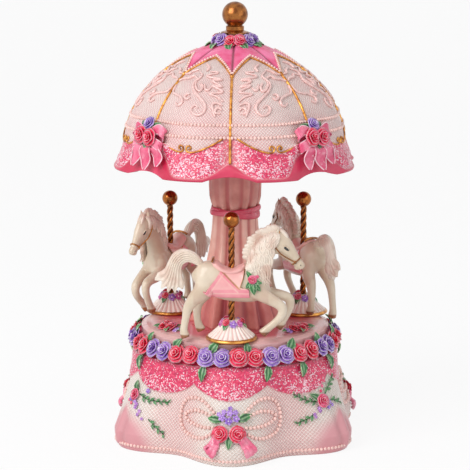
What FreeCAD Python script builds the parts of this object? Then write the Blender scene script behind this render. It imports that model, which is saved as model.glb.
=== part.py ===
import FreeCAD
import Part
import math
import os
from FreeCAD import Placement, Rotation, Vector

# A carousel music box: a cast, painted base that holds a wind-up musical movement, and a turntable
# above it that carries three horses on poles, a draped column and a domed canopy with a ball finial.
# Frame: Z is up, the origin is on the turning axis at the foot of the base, and the front is -Y.
# All sizes are in millimetres, and angles are in degrees from +X.

# General
front = 270.0
lobe_count = 6
horse_count = 3
running_gap = 0.05
seat_gap = 0.02
deck_gap = 0.4

# Base casting
base_height = 50.0
foot_radius = 54.3
foot_lobe = 5.3
lip_radius = 56.4
lip_lobe = 5.0
lip_height = 8.0
waist_radius = 47.3
rim_height = 7.0
rim_radius = 44.9
rim_edge = 1.5
ceiling = 4.0
base_wall = 3.3
swag_count = 9
swag_depth = 21.5
swag_arc_radius = 25.7
swag_relief = 0.7
bead_width = 1.6
bead_relief = 0.7
foot_bead_height = 2.7
bow_loop_arcs = (
    (14.4, 20.1, 8.3, -120.0, 150.0),
    (13.4, 12.0, 11.4, 62.0, 118.0),
    (13.4, 28.4, 11.4, 242.0, 298.0),
)

# Cover, its screws and posts
key_recess = 13.5
cover_thickness = 2.5
post_radius = 3.5
post_circle = 38.5
post_angles = (60.0, 180.0, 300.0)
post_root = 0.5
cover_clear = 0.3
screw_radius = 1.4
screw_length = 9.0
screw_head_radius = 2.6
screw_head = 1.6
screw_slot = 0.7

# Garland of roses round the rim
garland_roses = 40
garland_circle = 48.0
garland_drop = 2.4
garland_tilt = 28.0
garland_rose_radius = 3.6
rose_height_share = 0.78

# Turntable
deck_thickness = 3.6
deck_radius = 44.2
deck_crown = 1.2
horse_circle = 36.8
washer_radius = 8.0
washer_thickness = 0.9
hub_radius = 6.5
hub_height = 2.0

# Pedestals and poles
pedestal_radius = 11.7
pedestal_rim = 1.6
pedestal_height = 7.4
pedestal_top_radius = 3.6
pedestal_pleats = 26
pedestal_pleat = 0.22
pole_radius = 1.5
pole_flute = 0.28
pole_flutes = 3
pole_twist_pitch = 11.0
pole_ball_radius = 3.7
pole_ball_height = 55.2
pole_foot = 1.2

# Column
column_height = 113.0
column_folds = 12
column_foot_radius = 20.5
column_fold = 1.5
tie_height = 50.0
tie_width = 5.4
tie_radius = 10.4
tie_roll = 0.9
column_head_radius = 12.2
column_head_height = 65.0
column_top_radius = 11.0
spigot_radius = 6.0
spigot_height = 4.0

# Canopy
panel_count = 8
bow_count = 4
hem_height = 75.2
hem_flare_height = 9.6
hem_radius = 56.0
hem_lobe = 1.3
hem_notch = 2.2
hem_notch_radius = 34.0
dome_radius = 52.0
dome_height = 48.5
dome_lobe = 0.9
dome_power = 0.7
canopy_wall = 3.2
crown_radius = 8.6
crown_rise = 2.5
collar_point_radius = 36.0
collar_arch_radius = 22.2
collar_relief = 0.6
rib_width = 1.0
rib_relief = 0.5
belt_heights = (19.2, 24.5)
crown_roses_per_third = 3
crown_rose_radius = 3.1
bow_height = 17.0
bow_loop = 9.5
bow_loop_height = 7.0
bow_thickness = 3.4
bow_tail = 15.0
bow_tail_spread = 5.2
bow_rose_radius = 3.0
bow_bed = 12.5

# Finial
finial_flange_radius = 6.4
finial_flange = 1.5
finial_neck_radius = 3.4
finial_ring_radius = 4.2
finial_ring = 1.9
finial_neck = 0.5
finial_ball_radius = 5.95

# Flowers on the base and on the deck
bouquet_rose_radius = 3.3
bouquet_height = 14.7
bouquet_spread = 3.7
bouquet_rise = 7.2
bouquet_tail = ((4.4, 13.6, 1.5), (6.6, 10.6, 2.1), (9.2, 6.4, 2.7))
bouquet_tail_thickness = 1.3
spray_rose_radius = 2.6
spray_height = 24.2
spray_angles = (-56.0, 51.0, 171.0)
deck_rose_radius = 2.0
deck_rose_spread = 2.4

# Musical movement: gear sizes
gear_module = 0.6
tooth_share = 0.36
tip_share = 0.16
crown_teeth = 54
pinion_teeth = 18
cylinder_gear_teeth = 30
train_pinion_teeth = 12
worm_wheel_teeth = 18
gear_face = 1.6
pinion_face = 2.4

# Musical movement: plate, spring, cylinder, comb and governor
plate_thickness = 2.5
plate_edge = 2.2
plate_left = 19.0
plate_front = 24.0
plate_back = 29.5
arbor_radius = 2.0
arbor_collar = 0.9
wheel_thickness = 1.6
wheel_gap = 0.5
barrel_radius = 13.0
barrel_wall = 0.8
barrel_height = 11.4
barrel_boss_radius = 3.6
barrel_boss = 3.5
spring_turns = 6
spring_strip = 0.5
spring_height = 8.0
drum_radius = 5.8
drum_length = 15.0
drum_wall = 0.9
pin_radius = 0.25
pin_height = 0.35
note_count = 18
upright_thickness = 1.4
upright_width = 6.0
upright_gap = 0.6
train_arbor_radius = 0.9
comb_thickness = 0.7
comb_tooth = 8.6
comb_land = 7.0
comb_gap = 0.15
comb_slit = 0.22
comb_screw_radius = 1.2
worm_radius = 1.9
worm_length = 8.0
worm_place = 8.0
fly_radius = 5.0
fly_height = 5.0
fly_thickness = 0.6
fly_sleeve = 0.8
bracket_thickness = 2.4
bracket_width = 5.0
bracket_clear = 0.7
bracket_nose = 2.0
bush_radius = 3.4
bush_flange_radius = 5.2
bush_flange = 1.0
movement_screw_circle = ((-15.0, -14.0), (-15.0, 16.0), (10.0, -21.0))

# Winding key
key_floor_gap = 1.5
key_hub_radius = 3.3
key_wing_length = 11.5
key_wing_height = 8.5
key_wing_thickness = 1.7

# Levels and places that follow from the sizes above
axis_up = Vector(0, 0, 1)
cover_bottom = key_recess
cover_top = cover_bottom + cover_thickness
plate_top = cover_top + plate_thickness
wheel_bottom = plate_top + wheel_gap
wheel_top = wheel_bottom + wheel_thickness
barrel_top = wheel_top + barrel_height
ceiling_bottom = base_height - ceiling
deck_bottom = base_height + deck_gap
deck_top = deck_bottom + deck_thickness
pedestal_top = deck_top + pedestal_rim + pedestal_height
column_top = deck_top + column_height
hem_bottom = deck_top + hem_height
dome_bottom = hem_bottom + hem_flare_height
dome_top = dome_bottom + dome_height
crown_top = dome_top + crown_rise
cavity_radius = waist_radius - base_wall
first_panel = front + 180.0 / panel_count

tooth_add = gear_module
tooth_ded = 1.25 * gear_module
tooth_pitch = math.pi * gear_module
crown_pitch_radius = gear_module * crown_teeth / 2
pinion_pitch_radius = gear_module * pinion_teeth / 2
cylinder_gear_radius = gear_module * cylinder_gear_teeth / 2
train_pinion_radius = gear_module * train_pinion_teeth / 2
worm_wheel_radius = gear_module * worm_wheel_teeth / 2
crown_tooth_top = wheel_top + tooth_ded + tooth_add
drum_axis = wheel_top + tooth_ded + pinion_pitch_radius
pinion_x = crown_pitch_radius
inner_upright_x = crown_pitch_radius + pinion_face / 2 + upright_gap
drum_x = inner_upright_x + upright_thickness + upright_gap
drum_gear_x = drum_x + drum_length + upright_gap
outer_upright_x = drum_gear_x + gear_face + upright_gap
train_y = cylinder_gear_radius + train_pinion_radius
worm_x = drum_x + worm_place
train_upright_x = worm_x - gear_face / 2 - upright_gap - upright_thickness
worm_y = train_y + worm_wheel_radius + worm_radius
fly_bottom = drum_axis + worm_length / 2 + tooth_ded + 1.0
bracket_bottom = fly_bottom + fly_height + bracket_clear
comb_front = -(drum_radius + pin_height + comb_gap)
note_pitch = drum_length / (note_count + 1)


def on_circle(radius, angle, z=0.0):
    turn = math.radians(angle)
    return Vector(radius * math.cos(turn), radius * math.sin(turn), z)


def closed_curve(points):
    curve = Part.BSplineCurve()
    curve.interpolate(points, PeriodicFlag=True)
    return Part.Wire([curve.toShape()])


def lobed_ring(z, radius, lobe, count, phase, turn=0.0):
    # A closed outline whose radius swells by lobe, count times round the axis.
    steps = count * 6
    points = []
    for i in range(steps):
        angle = 360.0 * i / steps
        swell = lobe * math.cos(math.radians(count * (angle - phase)))
        points.append(on_circle(radius + swell, angle + turn, z))
    return closed_curve(points)


def loft(wires):
    return Part.makeLoft(wires, True, False)


def cylinder(radius, bottom, top, x=0.0, y=0.0):
    return Part.makeCylinder(radius, top - bottom, Vector(x, y, bottom))


def rod_x(radius, start, end, y, z):
    return Part.makeCylinder(radius, end - start, Vector(start, y, z), Vector(1, 0, 0))


def block(x0, x1, y0, y1, z0, z1):
    return Part.makeBox(x1 - x0, y1 - y0, z1 - z0, Vector(x0, y0, z0))


def prism(points, height, direction=axis_up):
    wire = Part.makePolygon([*points, points[0]])
    return Part.Face(wire).extrude(direction * height)


def turned(profile):
    # Revolves a closed (radius, z) outline about the axis.
    points = [Vector(r, 0, z) for r, z in profile]
    face = Part.Face(Part.makePolygon([*points, points[0]]))
    return face.revolve(Vector(0, 0, 0), axis_up, 360)


def turned_copy(shape, angle):
    copy = shape.copy()
    copy.rotate(Vector(0, 0, 0), axis_up, angle)
    return copy


def placed(shape, place, rotation):
    copy = shape.copy()
    copy.Placement = Placement(place, rotation).multiply(copy.Placement)
    return copy


def fused(first, others):
    return first.fuse(others).removeSplitter()


def station_angles(count, offset=0.0):
    return [front + offset + 360.0 * i / count for i in range(count)]


# Base casting


def skirt_radius(share):
    return waist_radius + (lip_radius - waist_radius) * (1 - share) ** 1.2


def skirt_lobe(share):
    return lip_lobe * (1 - share) ** 0.85


def skirt_reach(share):
    # How far a lobe's crest stands from the axis, from the lip (0) to the waist (1).
    return skirt_radius(share) + skirt_lobe(share)


def skirt_place(angle, z, inset=0.0):
    # A point on the skirt above its lip.
    share = (z - lip_height) / (base_height - rim_height - lip_height)
    swell = skirt_lobe(share) * math.cos(math.radians(lobe_count * (angle - front)))
    return on_circle(skirt_radius(share) + swell - inset, angle, z)


def stroke_bars(arcs, width):
    # Curved bars that run out towards the front; each arc is across, height, radius, start and end.
    reach = 2 * foot_radius
    bars = []
    for across, height, radius, start, end in arcs:
        bar = Part.makeCylinder(radius + width / 2, reach, Vector(), axis_up, end - start)
        bar = bar.cut(Part.makeCylinder(radius - width / 2, reach))
        bar.rotate(Vector(), axis_up, start)
        bar.rotate(Vector(), Vector(1, 0, 0), 90.0)
        bar.translate(Vector(across, 0, height))
        bars.append(bar)
    return bars[0].fuse(bars[1:])


def skirt_loft(relief=0.0):
    waist_z = base_height - rim_height
    belly_radius = (foot_radius + lip_radius) / 2 + 0.6
    rings = [
        lobed_ring(0.0, foot_radius + relief, foot_lobe, lobe_count, front),
        lobed_ring(lip_height / 2, belly_radius + relief, foot_lobe, lobe_count, front),
    ]
    steps = 4
    for i in range(steps + 1):
        share = i / steps
        z = lip_height + (waist_z - lip_height) * share
        rings.append(lobed_ring(z, skirt_radius(share) + relief, skirt_lobe(share), lobe_count, front))
    return loft(rings)


def rim_solid():
    # The plain round rim that carries the garland; its root reaches down inside the skirt.
    waist_z = base_height - rim_height
    edge = waist_radius - 0.05
    return turned(
        [
            (0, waist_z - 4),
            (edge - 1, waist_z - 4),
            (edge - 1, waist_z),
            (edge, waist_z),
            (edge, base_height - rim_edge - (waist_radius - rim_radius)),
            (rim_radius, base_height - rim_edge),
            (rim_radius, base_height),
            (0, base_height),
        ]
    )


def swag_cutter():
    # Large discs stood on edge round the skirt: their lower arcs are the scallops of the draped swags.
    centre = Vector(0, 0, base_height - swag_depth + swag_arc_radius)
    discs = []
    for angle in station_angles(swag_count):
        discs.append(Part.makeCylinder(swag_arc_radius, 2 * foot_radius, centre, on_circle(1, angle)))
    return discs[0].fuse(discs[1:])


def skirt_beads():
    # A row of beading just above the foot, and two open loops of it like a bow on every other lobe.
    raised = skirt_loft(bead_relief)
    low = foot_bead_height - bead_width / 2
    row = raised.common(cylinder(2 * foot_radius, low, low + bead_width))
    row = row.cut(cylinder(cavity_radius + base_wall / 2, low - 1, low + bead_width + 1))
    arcs = list(bow_loop_arcs)
    for across, height, radius, start, end in bow_loop_arcs:
        arcs.append((-across, height, radius, 180.0 - end, 180.0 - start))
    bow = stroke_bars(arcs, bead_width).common(raised).cut(skirt_loft(-bead_relief))
    return [row, *(turned_copy(bow, angle - front) for angle in station_angles(horse_count))]


def post_places():
    return [on_circle(post_circle, angle) for angle in post_angles]


def make_base_shell():
    body = skirt_loft().fuse(rim_solid())
    swags = skirt_loft(swag_relief).common(swag_cutter())
    body = body.fuse([swags, *skirt_beads()])
    body = body.cut(cylinder(cavity_radius, -1, ceiling_bottom))
    posts = [cylinder(post_radius, cover_top, ceiling_bottom + post_root, p.x, p.y) for p in post_places()]
    body = body.fuse(posts)
    holes = [
        cylinder(bush_radius + seat_gap, ceiling_bottom - 1, base_height + 1),
        cylinder(washer_radius + running_gap, base_height + deck_gap - washer_thickness, base_height + 1),
    ]
    for p in post_places():
        holes.append(cylinder(screw_radius + seat_gap, cover_top - 1, cover_top + screw_length, p.x, p.y))
    return body.cut(holes).removeSplitter()


def make_bottom_cover():
    cover = cylinder(cavity_radius - cover_clear, cover_bottom, cover_top)
    holes = [cylinder(arbor_radius + arbor_collar + cover_clear, cover_bottom - 1, cover_top + 1)]
    for p in post_places():
        holes.append(cylinder(screw_radius + running_gap, cover_bottom - 1, cover_top + 1, p.x, p.y))
    for x, y in movement_screw_circle:
        holes.append(cylinder(screw_radius + running_gap, cover_bottom - 1, cover_top + 1, x, y))
    return cover.cut(holes)


def screw(x, y, seat, length):
    # A pan-head screw driven upwards against a seat.
    head = cylinder(screw_head_radius, seat - screw_head, seat, x, y)
    head = head.makeFillet(screw_head * 0.35, [head.Edges[2]])
    half = screw_slot / 2
    slot_top = seat - screw_head * 0.55
    slot = block(x - screw_head_radius, x + screw_head_radius, y - half, y + half, slot_top - 2, slot_top)
    return head.fuse(cylinder(screw_radius, seat, seat + length, x, y)).cut(slot)


def make_cover_screws():
    length = cover_thickness + screw_length - 0.5
    return [screw(p.x, p.y, cover_bottom, length) for p in post_places()]


def make_movement_screws():
    length = cover_thickness + plate_thickness
    return [screw(x, y, cover_bottom, length) for x, y in movement_screw_circle]


# Roses


def rose(radius):
    # A turned rosebud with two rings of petals, standing on a flat back.
    tall = radius * rose_height_share * 1.6
    outline = [
        (0, 0),
        (0.70 * radius, 0),
        (0.94 * radius, 0.22 * tall),
        (radius, 0.46 * tall),
        (0.90 * radius, 0.70 * tall),
        (0.70 * radius, 0.62 * tall),
        (0.62 * radius, 0.86 * tall),
        (0.46 * radius, 0.95 * tall),
        (0.34 * radius, 0.82 * tall),
        (0.20 * radius, tall),
        (0, tall),
    ]
    return turned(outline)


def facing(direction):
    return Rotation(axis_up, direction)


def make_rose_garland():
    angle = front + 180.0 / garland_roses
    tilt = math.radians(garland_tilt)
    outward = on_circle(math.cos(tilt), angle, math.sin(tilt))
    middle = on_circle(garland_circle, angle, base_height - garland_drop)
    back = middle - outward * (garland_rose_radius * 0.62)
    first = placed(rose(garland_rose_radius), back, facing(outward)).cut(rim_solid())
    return [turned_copy(first, 360.0 * i / garland_roses) for i in range(garland_roses)]


def make_bouquets():
    # Three roses with two ribbon tails below them on every other lobe, and single roses on three corners.
    skirt = skirt_loft(seat_gap)
    outward = on_circle(1, front)
    side = on_circle(1, front + 90)
    bouquet = []
    for across, up in ((-bouquet_spread, 0), (bouquet_spread, 0), (0, bouquet_rise)):
        share = (bouquet_height + up - lip_height) / (base_height - rim_height - lip_height)
        place = outward * (skirt_reach(share) - 1.2) + side * across + axis_up * (bouquet_height + up)
        bouquet.append(placed(rose(bouquet_rose_radius), place, facing(outward)).cut(skirt))
    for hand in (-1.0, 1.0):
        stations = []
        for across, z, wide in bouquet_tail:
            place = skirt_place(front, max(z, lip_height), -bead_relief) + side * (hand * across)
            stations.append((place.x, place.y, z, bouquet_tail_thickness, wide))
        bouquet.append(limb(stations, outward).cut(skirt))
    pieces = [turned_copy(bud, 360.0 * i / horse_count) for i in range(horse_count) for bud in bouquet]
    for offset in spray_angles:
        place = skirt_place(front + offset, spray_height, 0.6)
        bud = placed(rose(spray_rose_radius), place, facing(on_circle(1, front + offset)))
        pieces.append(bud.cut(skirt))
    return pieces


# Turntable


def make_turntable_deck():
    deck = turned(
        [
            (0, deck_bottom),
            (deck_radius, deck_bottom),
            (deck_radius, deck_top - deck_crown),
            (deck_radius - 2 * deck_crown, deck_top - 0.25 * deck_crown),
            (deck_radius - 4 * deck_crown, deck_top),
            (0, deck_top),
        ]
    )
    holes = [cylinder(hub_radius + seat_gap, deck_bottom - 1, deck_bottom + hub_height)]
    for angle in station_angles(horse_count):
        centre = on_circle(horse_circle, angle)
        socket = cylinder(pole_radius + running_gap, deck_top - pole_foot, deck_top + 1, centre.x, centre.y)
        holes.append(socket)
    return deck.cut(holes)


def make_drive_hub():
    hub = cylinder(hub_radius, deck_bottom, deck_bottom + hub_height)
    return hub.cut(cylinder(arbor_radius + seat_gap, deck_bottom - 1, deck_bottom + hub_height + 1))


def make_thrust_washer():
    ring = cylinder(washer_radius, base_height + deck_gap - washer_thickness, base_height + deck_gap)
    return ring.cut(cylinder(bush_flange_radius + 0.3, base_height - 2, base_height + 1))


def make_deck_flowers():
    solids = []
    for angle in station_angles(horse_count, 60.0):
        for across in (-deck_rose_spread, 0.0, deck_rose_spread):
            circle = horse_circle - 2.5 + abs(across) * 0.6
            place = on_circle(circle, angle, deck_top) + on_circle(across * 1.1, angle + 90)
            solids.append(placed(rose(deck_rose_radius), place, facing(axis_up)))
    return solids


def make_pedestal():
    bottom = deck_top + pedestal_rim
    rim = cylinder(pedestal_radius, deck_top, bottom)
    rim = rim.makeFillet(0.7, [rim.Edges[0]])
    rings = []
    steps = 3
    for i in range(steps + 1):
        share = i / steps
        radius = pedestal_top_radius + (pedestal_radius - 1.2 - pedestal_top_radius) * (1 - share) ** 1.35
        pleat = pedestal_pleat * (1 - 0.6 * share)
        z = bottom - 0.01 + (pedestal_height + 0.01) * share
        rings.append(lobed_ring(z, radius, pleat, pedestal_pleats, 0.0))
    body = rim.fuse(loft(rings))
    body = body.cut(cylinder(pole_radius + running_gap, deck_top - 1, pedestal_top + 1))
    body.translate(Vector(horse_circle, 0, 0))
    return body


def make_pole():
    # A barley-twist rod: rings of a fluted outline that turn as they climb, joined by flat facets.
    bottom = deck_top - pole_foot
    top = deck_top + pole_ball_height - pole_ball_radius * 0.8
    steps = math.ceil((top - bottom) / pole_twist_pitch * 8)
    ring_points = 3 * pole_flutes
    rings = []
    for i in range(steps + 1):
        z = bottom + (top - bottom) * i / steps
        turn = 360.0 * (z - bottom) / pole_twist_pitch
        ring = []
        for j in range(ring_points):
            place = 360.0 * j / ring_points
            swell = pole_flute * math.cos(math.radians(pole_flutes * place))
            ring.append(on_circle(pole_radius - pole_flute + swell, place + turn, z))
        rings.append(ring)
    corners = [tuple(reversed(rings[0])), tuple(rings[-1])]
    for lower, upper in zip(rings, rings[1:]):
        for j in range(ring_points):
            k = (j + 1) % ring_points
            corners.append((lower[j], lower[k], upper[k]))
            corners.append((lower[j], upper[k], upper[j]))
    faces = [Part.Face(Part.makePolygon([*points, points[0]])) for points in corners]
    pole = Part.makeSolid(Part.makeShell(faces))
    pole.translate(Vector(horse_circle, 0, 0))
    return pole


def make_pole_ball():
    centre = Vector(horse_circle, 0, deck_top + pole_ball_height)
    ball = Part.makeSphere(pole_ball_radius, centre)
    socket_top = deck_top + pole_ball_height - pole_ball_radius * 0.8
    return ball.cut(cylinder(pole_radius + seat_gap, deck_top, socket_top, centre.x, centre.y))


# Column


def make_column():
    foot = deck_top
    curtain = []
    steps = 4
    for i in range(steps + 1):
        share = i / steps
        radius = tie_radius + (column_foot_radius - tie_radius) * (1 - share) ** 1.7
        fold = 0.35 + (column_fold - 0.35) * (1 - share)
        curtain.append(lobed_ring(foot + (tie_height + 1.0) * share, radius, fold, column_folds, front))
    head_bottom = tie_height + tie_width - 1.0
    head = []
    for z, radius, fold in (
        (head_bottom, tie_radius, 0.35),
        ((head_bottom + column_head_height) / 2, (tie_radius + column_head_radius) / 2 + 0.5, 0.5),
        (column_head_height, column_head_radius, 0.45),
        (column_head_height + 12.0, column_head_radius - 0.2, 0.3),
        (column_height, column_top_radius, 0.2),
    ):
        head.append(lobed_ring(foot + z, radius, fold, column_folds, front))
    band_bottom = foot + tie_height
    band_top = band_bottom + tie_width
    band = turned(
        [
            (0, band_bottom),
            (tie_radius + 0.45, band_bottom),
            (tie_radius + tie_roll, band_bottom + 0.25 * tie_width),
            (tie_radius + tie_roll, band_top - 0.25 * tie_width),
            (tie_radius + 0.45, band_top),
            (0, band_top),
        ]
    )
    spigot = cylinder(spigot_radius, column_top - 1, column_top + spigot_height)
    return fused(band, [loft(curtain), loft(head), spigot])


# Canopy


def dome_share(z):
    rise = (z - dome_bottom) / dome_height
    return (1 - rise * rise) ** dome_power


def dome_loft(relief=0.0):
    rings = []
    flare_steps = 3
    for i in range(flare_steps):
        share = i / flare_steps
        z = hem_bottom + hem_flare_height * share
        radius = dome_radius + (hem_radius - dome_radius) * (1 - share) ** 1.4
        lobe = dome_lobe + (hem_lobe - dome_lobe) * (1 - share)
        rings.append(lobed_ring(z, radius + relief, lobe, panel_count, first_panel))
    for rise in (0.0, 0.19, 0.38, 0.56, 0.72, 0.85, 0.94, 0.975):
        z = dome_bottom + dome_height * rise
        share = dome_share(z)
        rings.append(lobed_ring(z, dome_radius * share + relief, dome_lobe * share, panel_count, first_panel))
    return loft(rings)


def dome_hollow():
    outline = [(0, hem_bottom - 1), (hem_radius - hem_lobe - canopy_wall, hem_bottom - 1)]
    outline.append((dome_radius - dome_lobe - canopy_wall, dome_bottom))
    for rise in (0.19, 0.38, 0.56, 0.72, 0.85):
        z = dome_bottom + dome_height * rise
        outline.append(((dome_radius - dome_lobe) * dome_share(z) - canopy_wall, z - canopy_wall * rise))
    outline.append((0, outline[-1][1] + 2.0))
    return turned(outline)


def collar_star():
    # The collar in plan: points that lie on the ribs, joined by arcs that dip between them.
    edges = []
    for angle in station_angles(panel_count):
        half = 180.0 / panel_count
        start = on_circle(collar_point_radius, angle, dome_bottom)
        middle = on_circle(collar_arch_radius, angle + half, dome_bottom)
        end = on_circle(collar_point_radius, angle + 2 * half, dome_bottom)
        edges.append(Part.Arc(start, middle, end).toShape())
    return Part.Face(Part.Wire(edges)).extrude(axis_up * (dome_height + 5))


def rib_plates():
    plates = []
    for i in range(panel_count // 2):
        reach = hem_radius * 1.2
        plate = block(-reach, reach, -rib_width / 2, rib_width / 2, dome_bottom, dome_top)
        plates.append(turned_copy(plate, front + 360.0 * i / panel_count))
    return plates[0].fuse(plates[1:])


def canopy_belts():
    # Two rows of beading round the dome, broken where the bows sit.
    raised = dome_loft(bead_relief)
    beds = []
    for angle in station_angles(bow_count, 180.0 / bow_count):
        beds.append(turned_copy(block(0, 2 * hem_radius, -bow_bed, bow_bed, dome_bottom, dome_top), angle))
    belts = []
    for height in belt_heights:
        low = hem_bottom + height - bead_width / 2
        belt = raised.common(cylinder(2 * hem_radius, low, low + bead_width))
        inside = dome_radius * dome_share(low) - canopy_wall / 2
        belts.append(belt.cut([cylinder(inside, low - 1, low + bead_width + 1), *beds]))
    return belts


def make_canopy():
    shell = dome_loft()
    shell = shell.fuse(dome_loft(collar_relief).common(collar_star()))
    shell = shell.fuse(dome_loft(rib_relief).common(rib_plates()))
    shell = shell.fuse(canopy_belts())
    crown_foot = dome_bottom + dome_height * 0.9
    shell = shell.fuse(cylinder(crown_radius, crown_foot, crown_top))
    boss = cylinder(column_top_radius + 2.5, column_top, crown_foot)
    shell = shell.cut(dome_hollow()).fuse(boss)
    cuts = [cylinder(spigot_radius + seat_gap, column_top - 1, column_top + spigot_height + 0.2)]
    for angle in station_angles(panel_count):
        notch_axis = Vector(0, 0, hem_bottom + hem_notch - hem_notch_radius)
        cuts.append(Part.makeCylinder(hem_notch_radius, hem_radius * 1.2, notch_axis, on_circle(1, angle)))
    return shell.cut(cuts).removeSplitter()


def make_crown_roses():
    stem = cylinder(crown_radius + seat_gap, dome_bottom, crown_top)
    dome = dome_loft(collar_relief + seat_gap)
    third = []
    for i in range(crown_roses_per_third):
        angle = front + 120.0 * i / crown_roses_per_third
        outward = on_circle(0.82, angle, 0.57)
        place = on_circle(crown_radius - 0.6, angle, crown_top - 3.3)
        bud = placed(rose(crown_rose_radius), place, facing(outward))
        third.append(bud.cut(stem).cut(dome))
    return [turned_copy(bud, 120.0 * i) for i in range(3) for bud in third]


def make_finial():
    z = crown_top
    ball_centre = z + finial_flange + finial_ring + finial_neck + finial_ball_radius * 0.82
    stem = turned(
        [
            (0, z),
            (finial_flange_radius, z),
            (finial_flange_radius, z + 0.5 * finial_flange),
            (finial_neck_radius + 0.6, z + finial_flange),
            (finial_ring_radius, z + finial_flange + 0.3),
            (finial_ring_radius, z + finial_flange + finial_ring),
            (finial_neck_radius, z + finial_flange + finial_ring + 0.4),
            (finial_neck_radius, ball_centre),
            (0, ball_centre),
        ]
    )
    return fused(stem, [Part.makeSphere(finial_ball_radius, Vector(0, 0, ball_centre))])


# Soft forms: rounded solids drawn through ovals along a path


def oval(centre, along, across, width, height):
    up = across.cross(along)
    points = []
    for i in range(8):
        turn = 2 * math.pi * i / 8
        points.append(centre + up * (height * math.cos(turn)) + across * (width * math.sin(turn)))
    return closed_curve(points)


def limb(stations, across):
    # Stations are (x, y, z, half width, half height); each oval stands square to the path.
    centres = [Vector(x, y, z) for x, y, z, width, height in stations]
    rings = []
    for i, (x, y, z, width, height) in enumerate(stations):
        before = centres[max(i - 1, 0)]
        after = centres[min(i + 1, len(centres) - 1)]
        along = (after - before)
        along = along - across * along.dot(across)
        along.normalize()
        rings.append(oval(centres[i], along, across, width, height))
    return loft(rings)


def make_canopy_bow():
    z = hem_bottom + bow_height
    radius = dome_radius * dome_share(z) - dome_lobe
    outward = Vector(1, 0, 0)
    side = Vector(0, 1, 0)
    centre = outward * radius + axis_up * z
    t = bow_thickness / 2
    solids = []
    for hand in (-1.0, 1.0):
        path = ((0.0, 0.0, 1.2, 1.6), (0.30, 0.16, 1.5, 2.4), (0.72, 0.30, 1.5, 3.2), (1.0, 0.22, 1.0, 2.2))
        stations = []
        for reach, rise, wide, tall in path:
            place = centre + side * (hand * bow_loop * reach) + axis_up * (bow_loop_height * rise)
            place = place + outward * (t * 0.5 - 1.6 * reach * reach)
            stations.append((*place, t * wide / 1.5, tall))
        solids.append(limb(stations, outward))
        stations = []
        for drop, wide in ((0.0, 1.2), (0.45, 1.7), (1.0, 2.2)):
            place = centre - axis_up * (bow_tail * drop) + side * (hand * bow_tail_spread * drop)
            place = place + outward * (0.6 + 2.6 * drop)
            stations.append((*place, 1.0, wide))
        solids.append(limb(stations, outward))
    for across, up in ((-2.5, 0.4), (2.5, -0.6), (0.0, 4.6)):
        place = centre + side * across + axis_up * up + outward * (t * 0.4)
        solids.append(placed(rose(bow_rose_radius), place, facing(outward)))
    dome = turned_copy(dome_loft(max(collar_relief, rib_relief)), -front)
    return fused(solids[0], solids[1:]).cut(dome)


# Horse, drawn about its pole with +X ahead, +Y to its left and Z from the deck


trunk_path = (
    (-20.6, 0, 33.0, 2.2, 3.0),
    (-18.4, 0, 32.2, 5.2, 6.2),
    (-13.0, 0, 30.0, 6.2, 8.2),
    (-6.0, 0, 26.6, 5.7, 7.6),
    (2.0, 0, 25.4, 5.7, 8.0),
    (9.0, 0, 25.8, 5.9, 8.4),
    (14.0, 0, 26.2, 4.8, 6.6),
    (16.6, 0, 26.4, 2.6, 3.8),
)
neck_path = (
    (7.5, 0, 26.0, 4.6, 8.6),
    (10.4, 0, 33.0, 3.9, 7.0),
    (13.6, 0, 39.6, 3.2, 5.6),
    (17.2, 0, 44.4, 2.8, 4.2),
    (20.0, 0, 46.2, 2.3, 3.0),
)
head_path = (
    (17.6, 0, 46.6, 2.4, 3.4),
    (21.0, 0, 44.2, 2.9, 4.4),
    (24.6, 0, 40.6, 2.6, 3.9),
    (28.0, 0, 36.8, 2.0, 2.7),
    (30.2, 0, 34.4, 1.9, 2.4),
    (31.2, 0, 33.0, 1.1, 1.4),
)
mane_path = (
    (3.6, 0, 33.0, 1.6, 2.0),
    (6.2, 0, 38.6, 2.3, 3.4),
    (9.6, 0, 44.0, 2.4, 3.8),
    (14.2, 0, 48.0, 2.2, 3.2),
    (19.6, 0, 49.2, 1.6, 2.0),
    (22.4, 0, 47.2, 1.0, 1.2),
)
tail_path = (
    (-18.6, 0, 35.4, 1.6, 1.8),
    (-22.4, 0, 39.6, 1.8, 2.0),
    (-27.4, 0, 39.4, 2.1, 2.8),
    (-31.0, 0, 34.6, 2.2, 4.2),
    (-31.6, 0, 28.6, 2.0, 5.4),
    (-31.4, 0, 24.0, 1.2, 3.4),
)
saddle_path = (
    (-11.4, 0, 35.8, 3.2, 2.0),
    (-7.0, 0, 33.2, 4.6, 1.8),
    (0.0, 0, 32.4, 4.8, 1.8),
    (4.4, 0, 33.6, 4.0, 1.9),
    (6.0, 0, 35.0, 2.4, 1.2),
)
near_fore_path = (
    (10.5, -3.6, 24.0, 2.6, 3.8),
    (15.4, -4.0, 20.2, 2.2, 2.7),
    (20.4, -4.2, 17.4, 1.7, 2.0),
    (23.0, -4.2, 15.6, 1.6, 1.7),
    (23.2, -4.2, 12.6, 1.5, 1.6),
    (20.6, -4.2, 9.4, 1.3, 1.4),
    (17.0, -4.2, 6.2, 1.3, 1.4),
    (15.6, -4.2, 4.8, 1.6, 1.8),
    (14.0, -4.2, 3.2, 1.7, 2.0),
)
far_fore_path = (
    (11.0, 3.4, 25.0, 2.5, 3.8),
    (18.4, 3.8, 22.8, 2.1, 2.6),
    (25.4, 4.0, 21.8, 1.7, 1.9),
    (28.3, 4.0, 20.3, 1.6, 1.7),
    (29.0, 4.0, 17.2, 1.5, 1.6),
    (27.2, 4.0, 13.2, 1.3, 1.4),
    (24.0, 4.0, 8.4, 1.3, 1.4),
    (22.6, 4.0, 6.6, 1.6, 1.8),
    (20.9, 4.0, 4.8, 1.7, 2.0),
)
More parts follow.
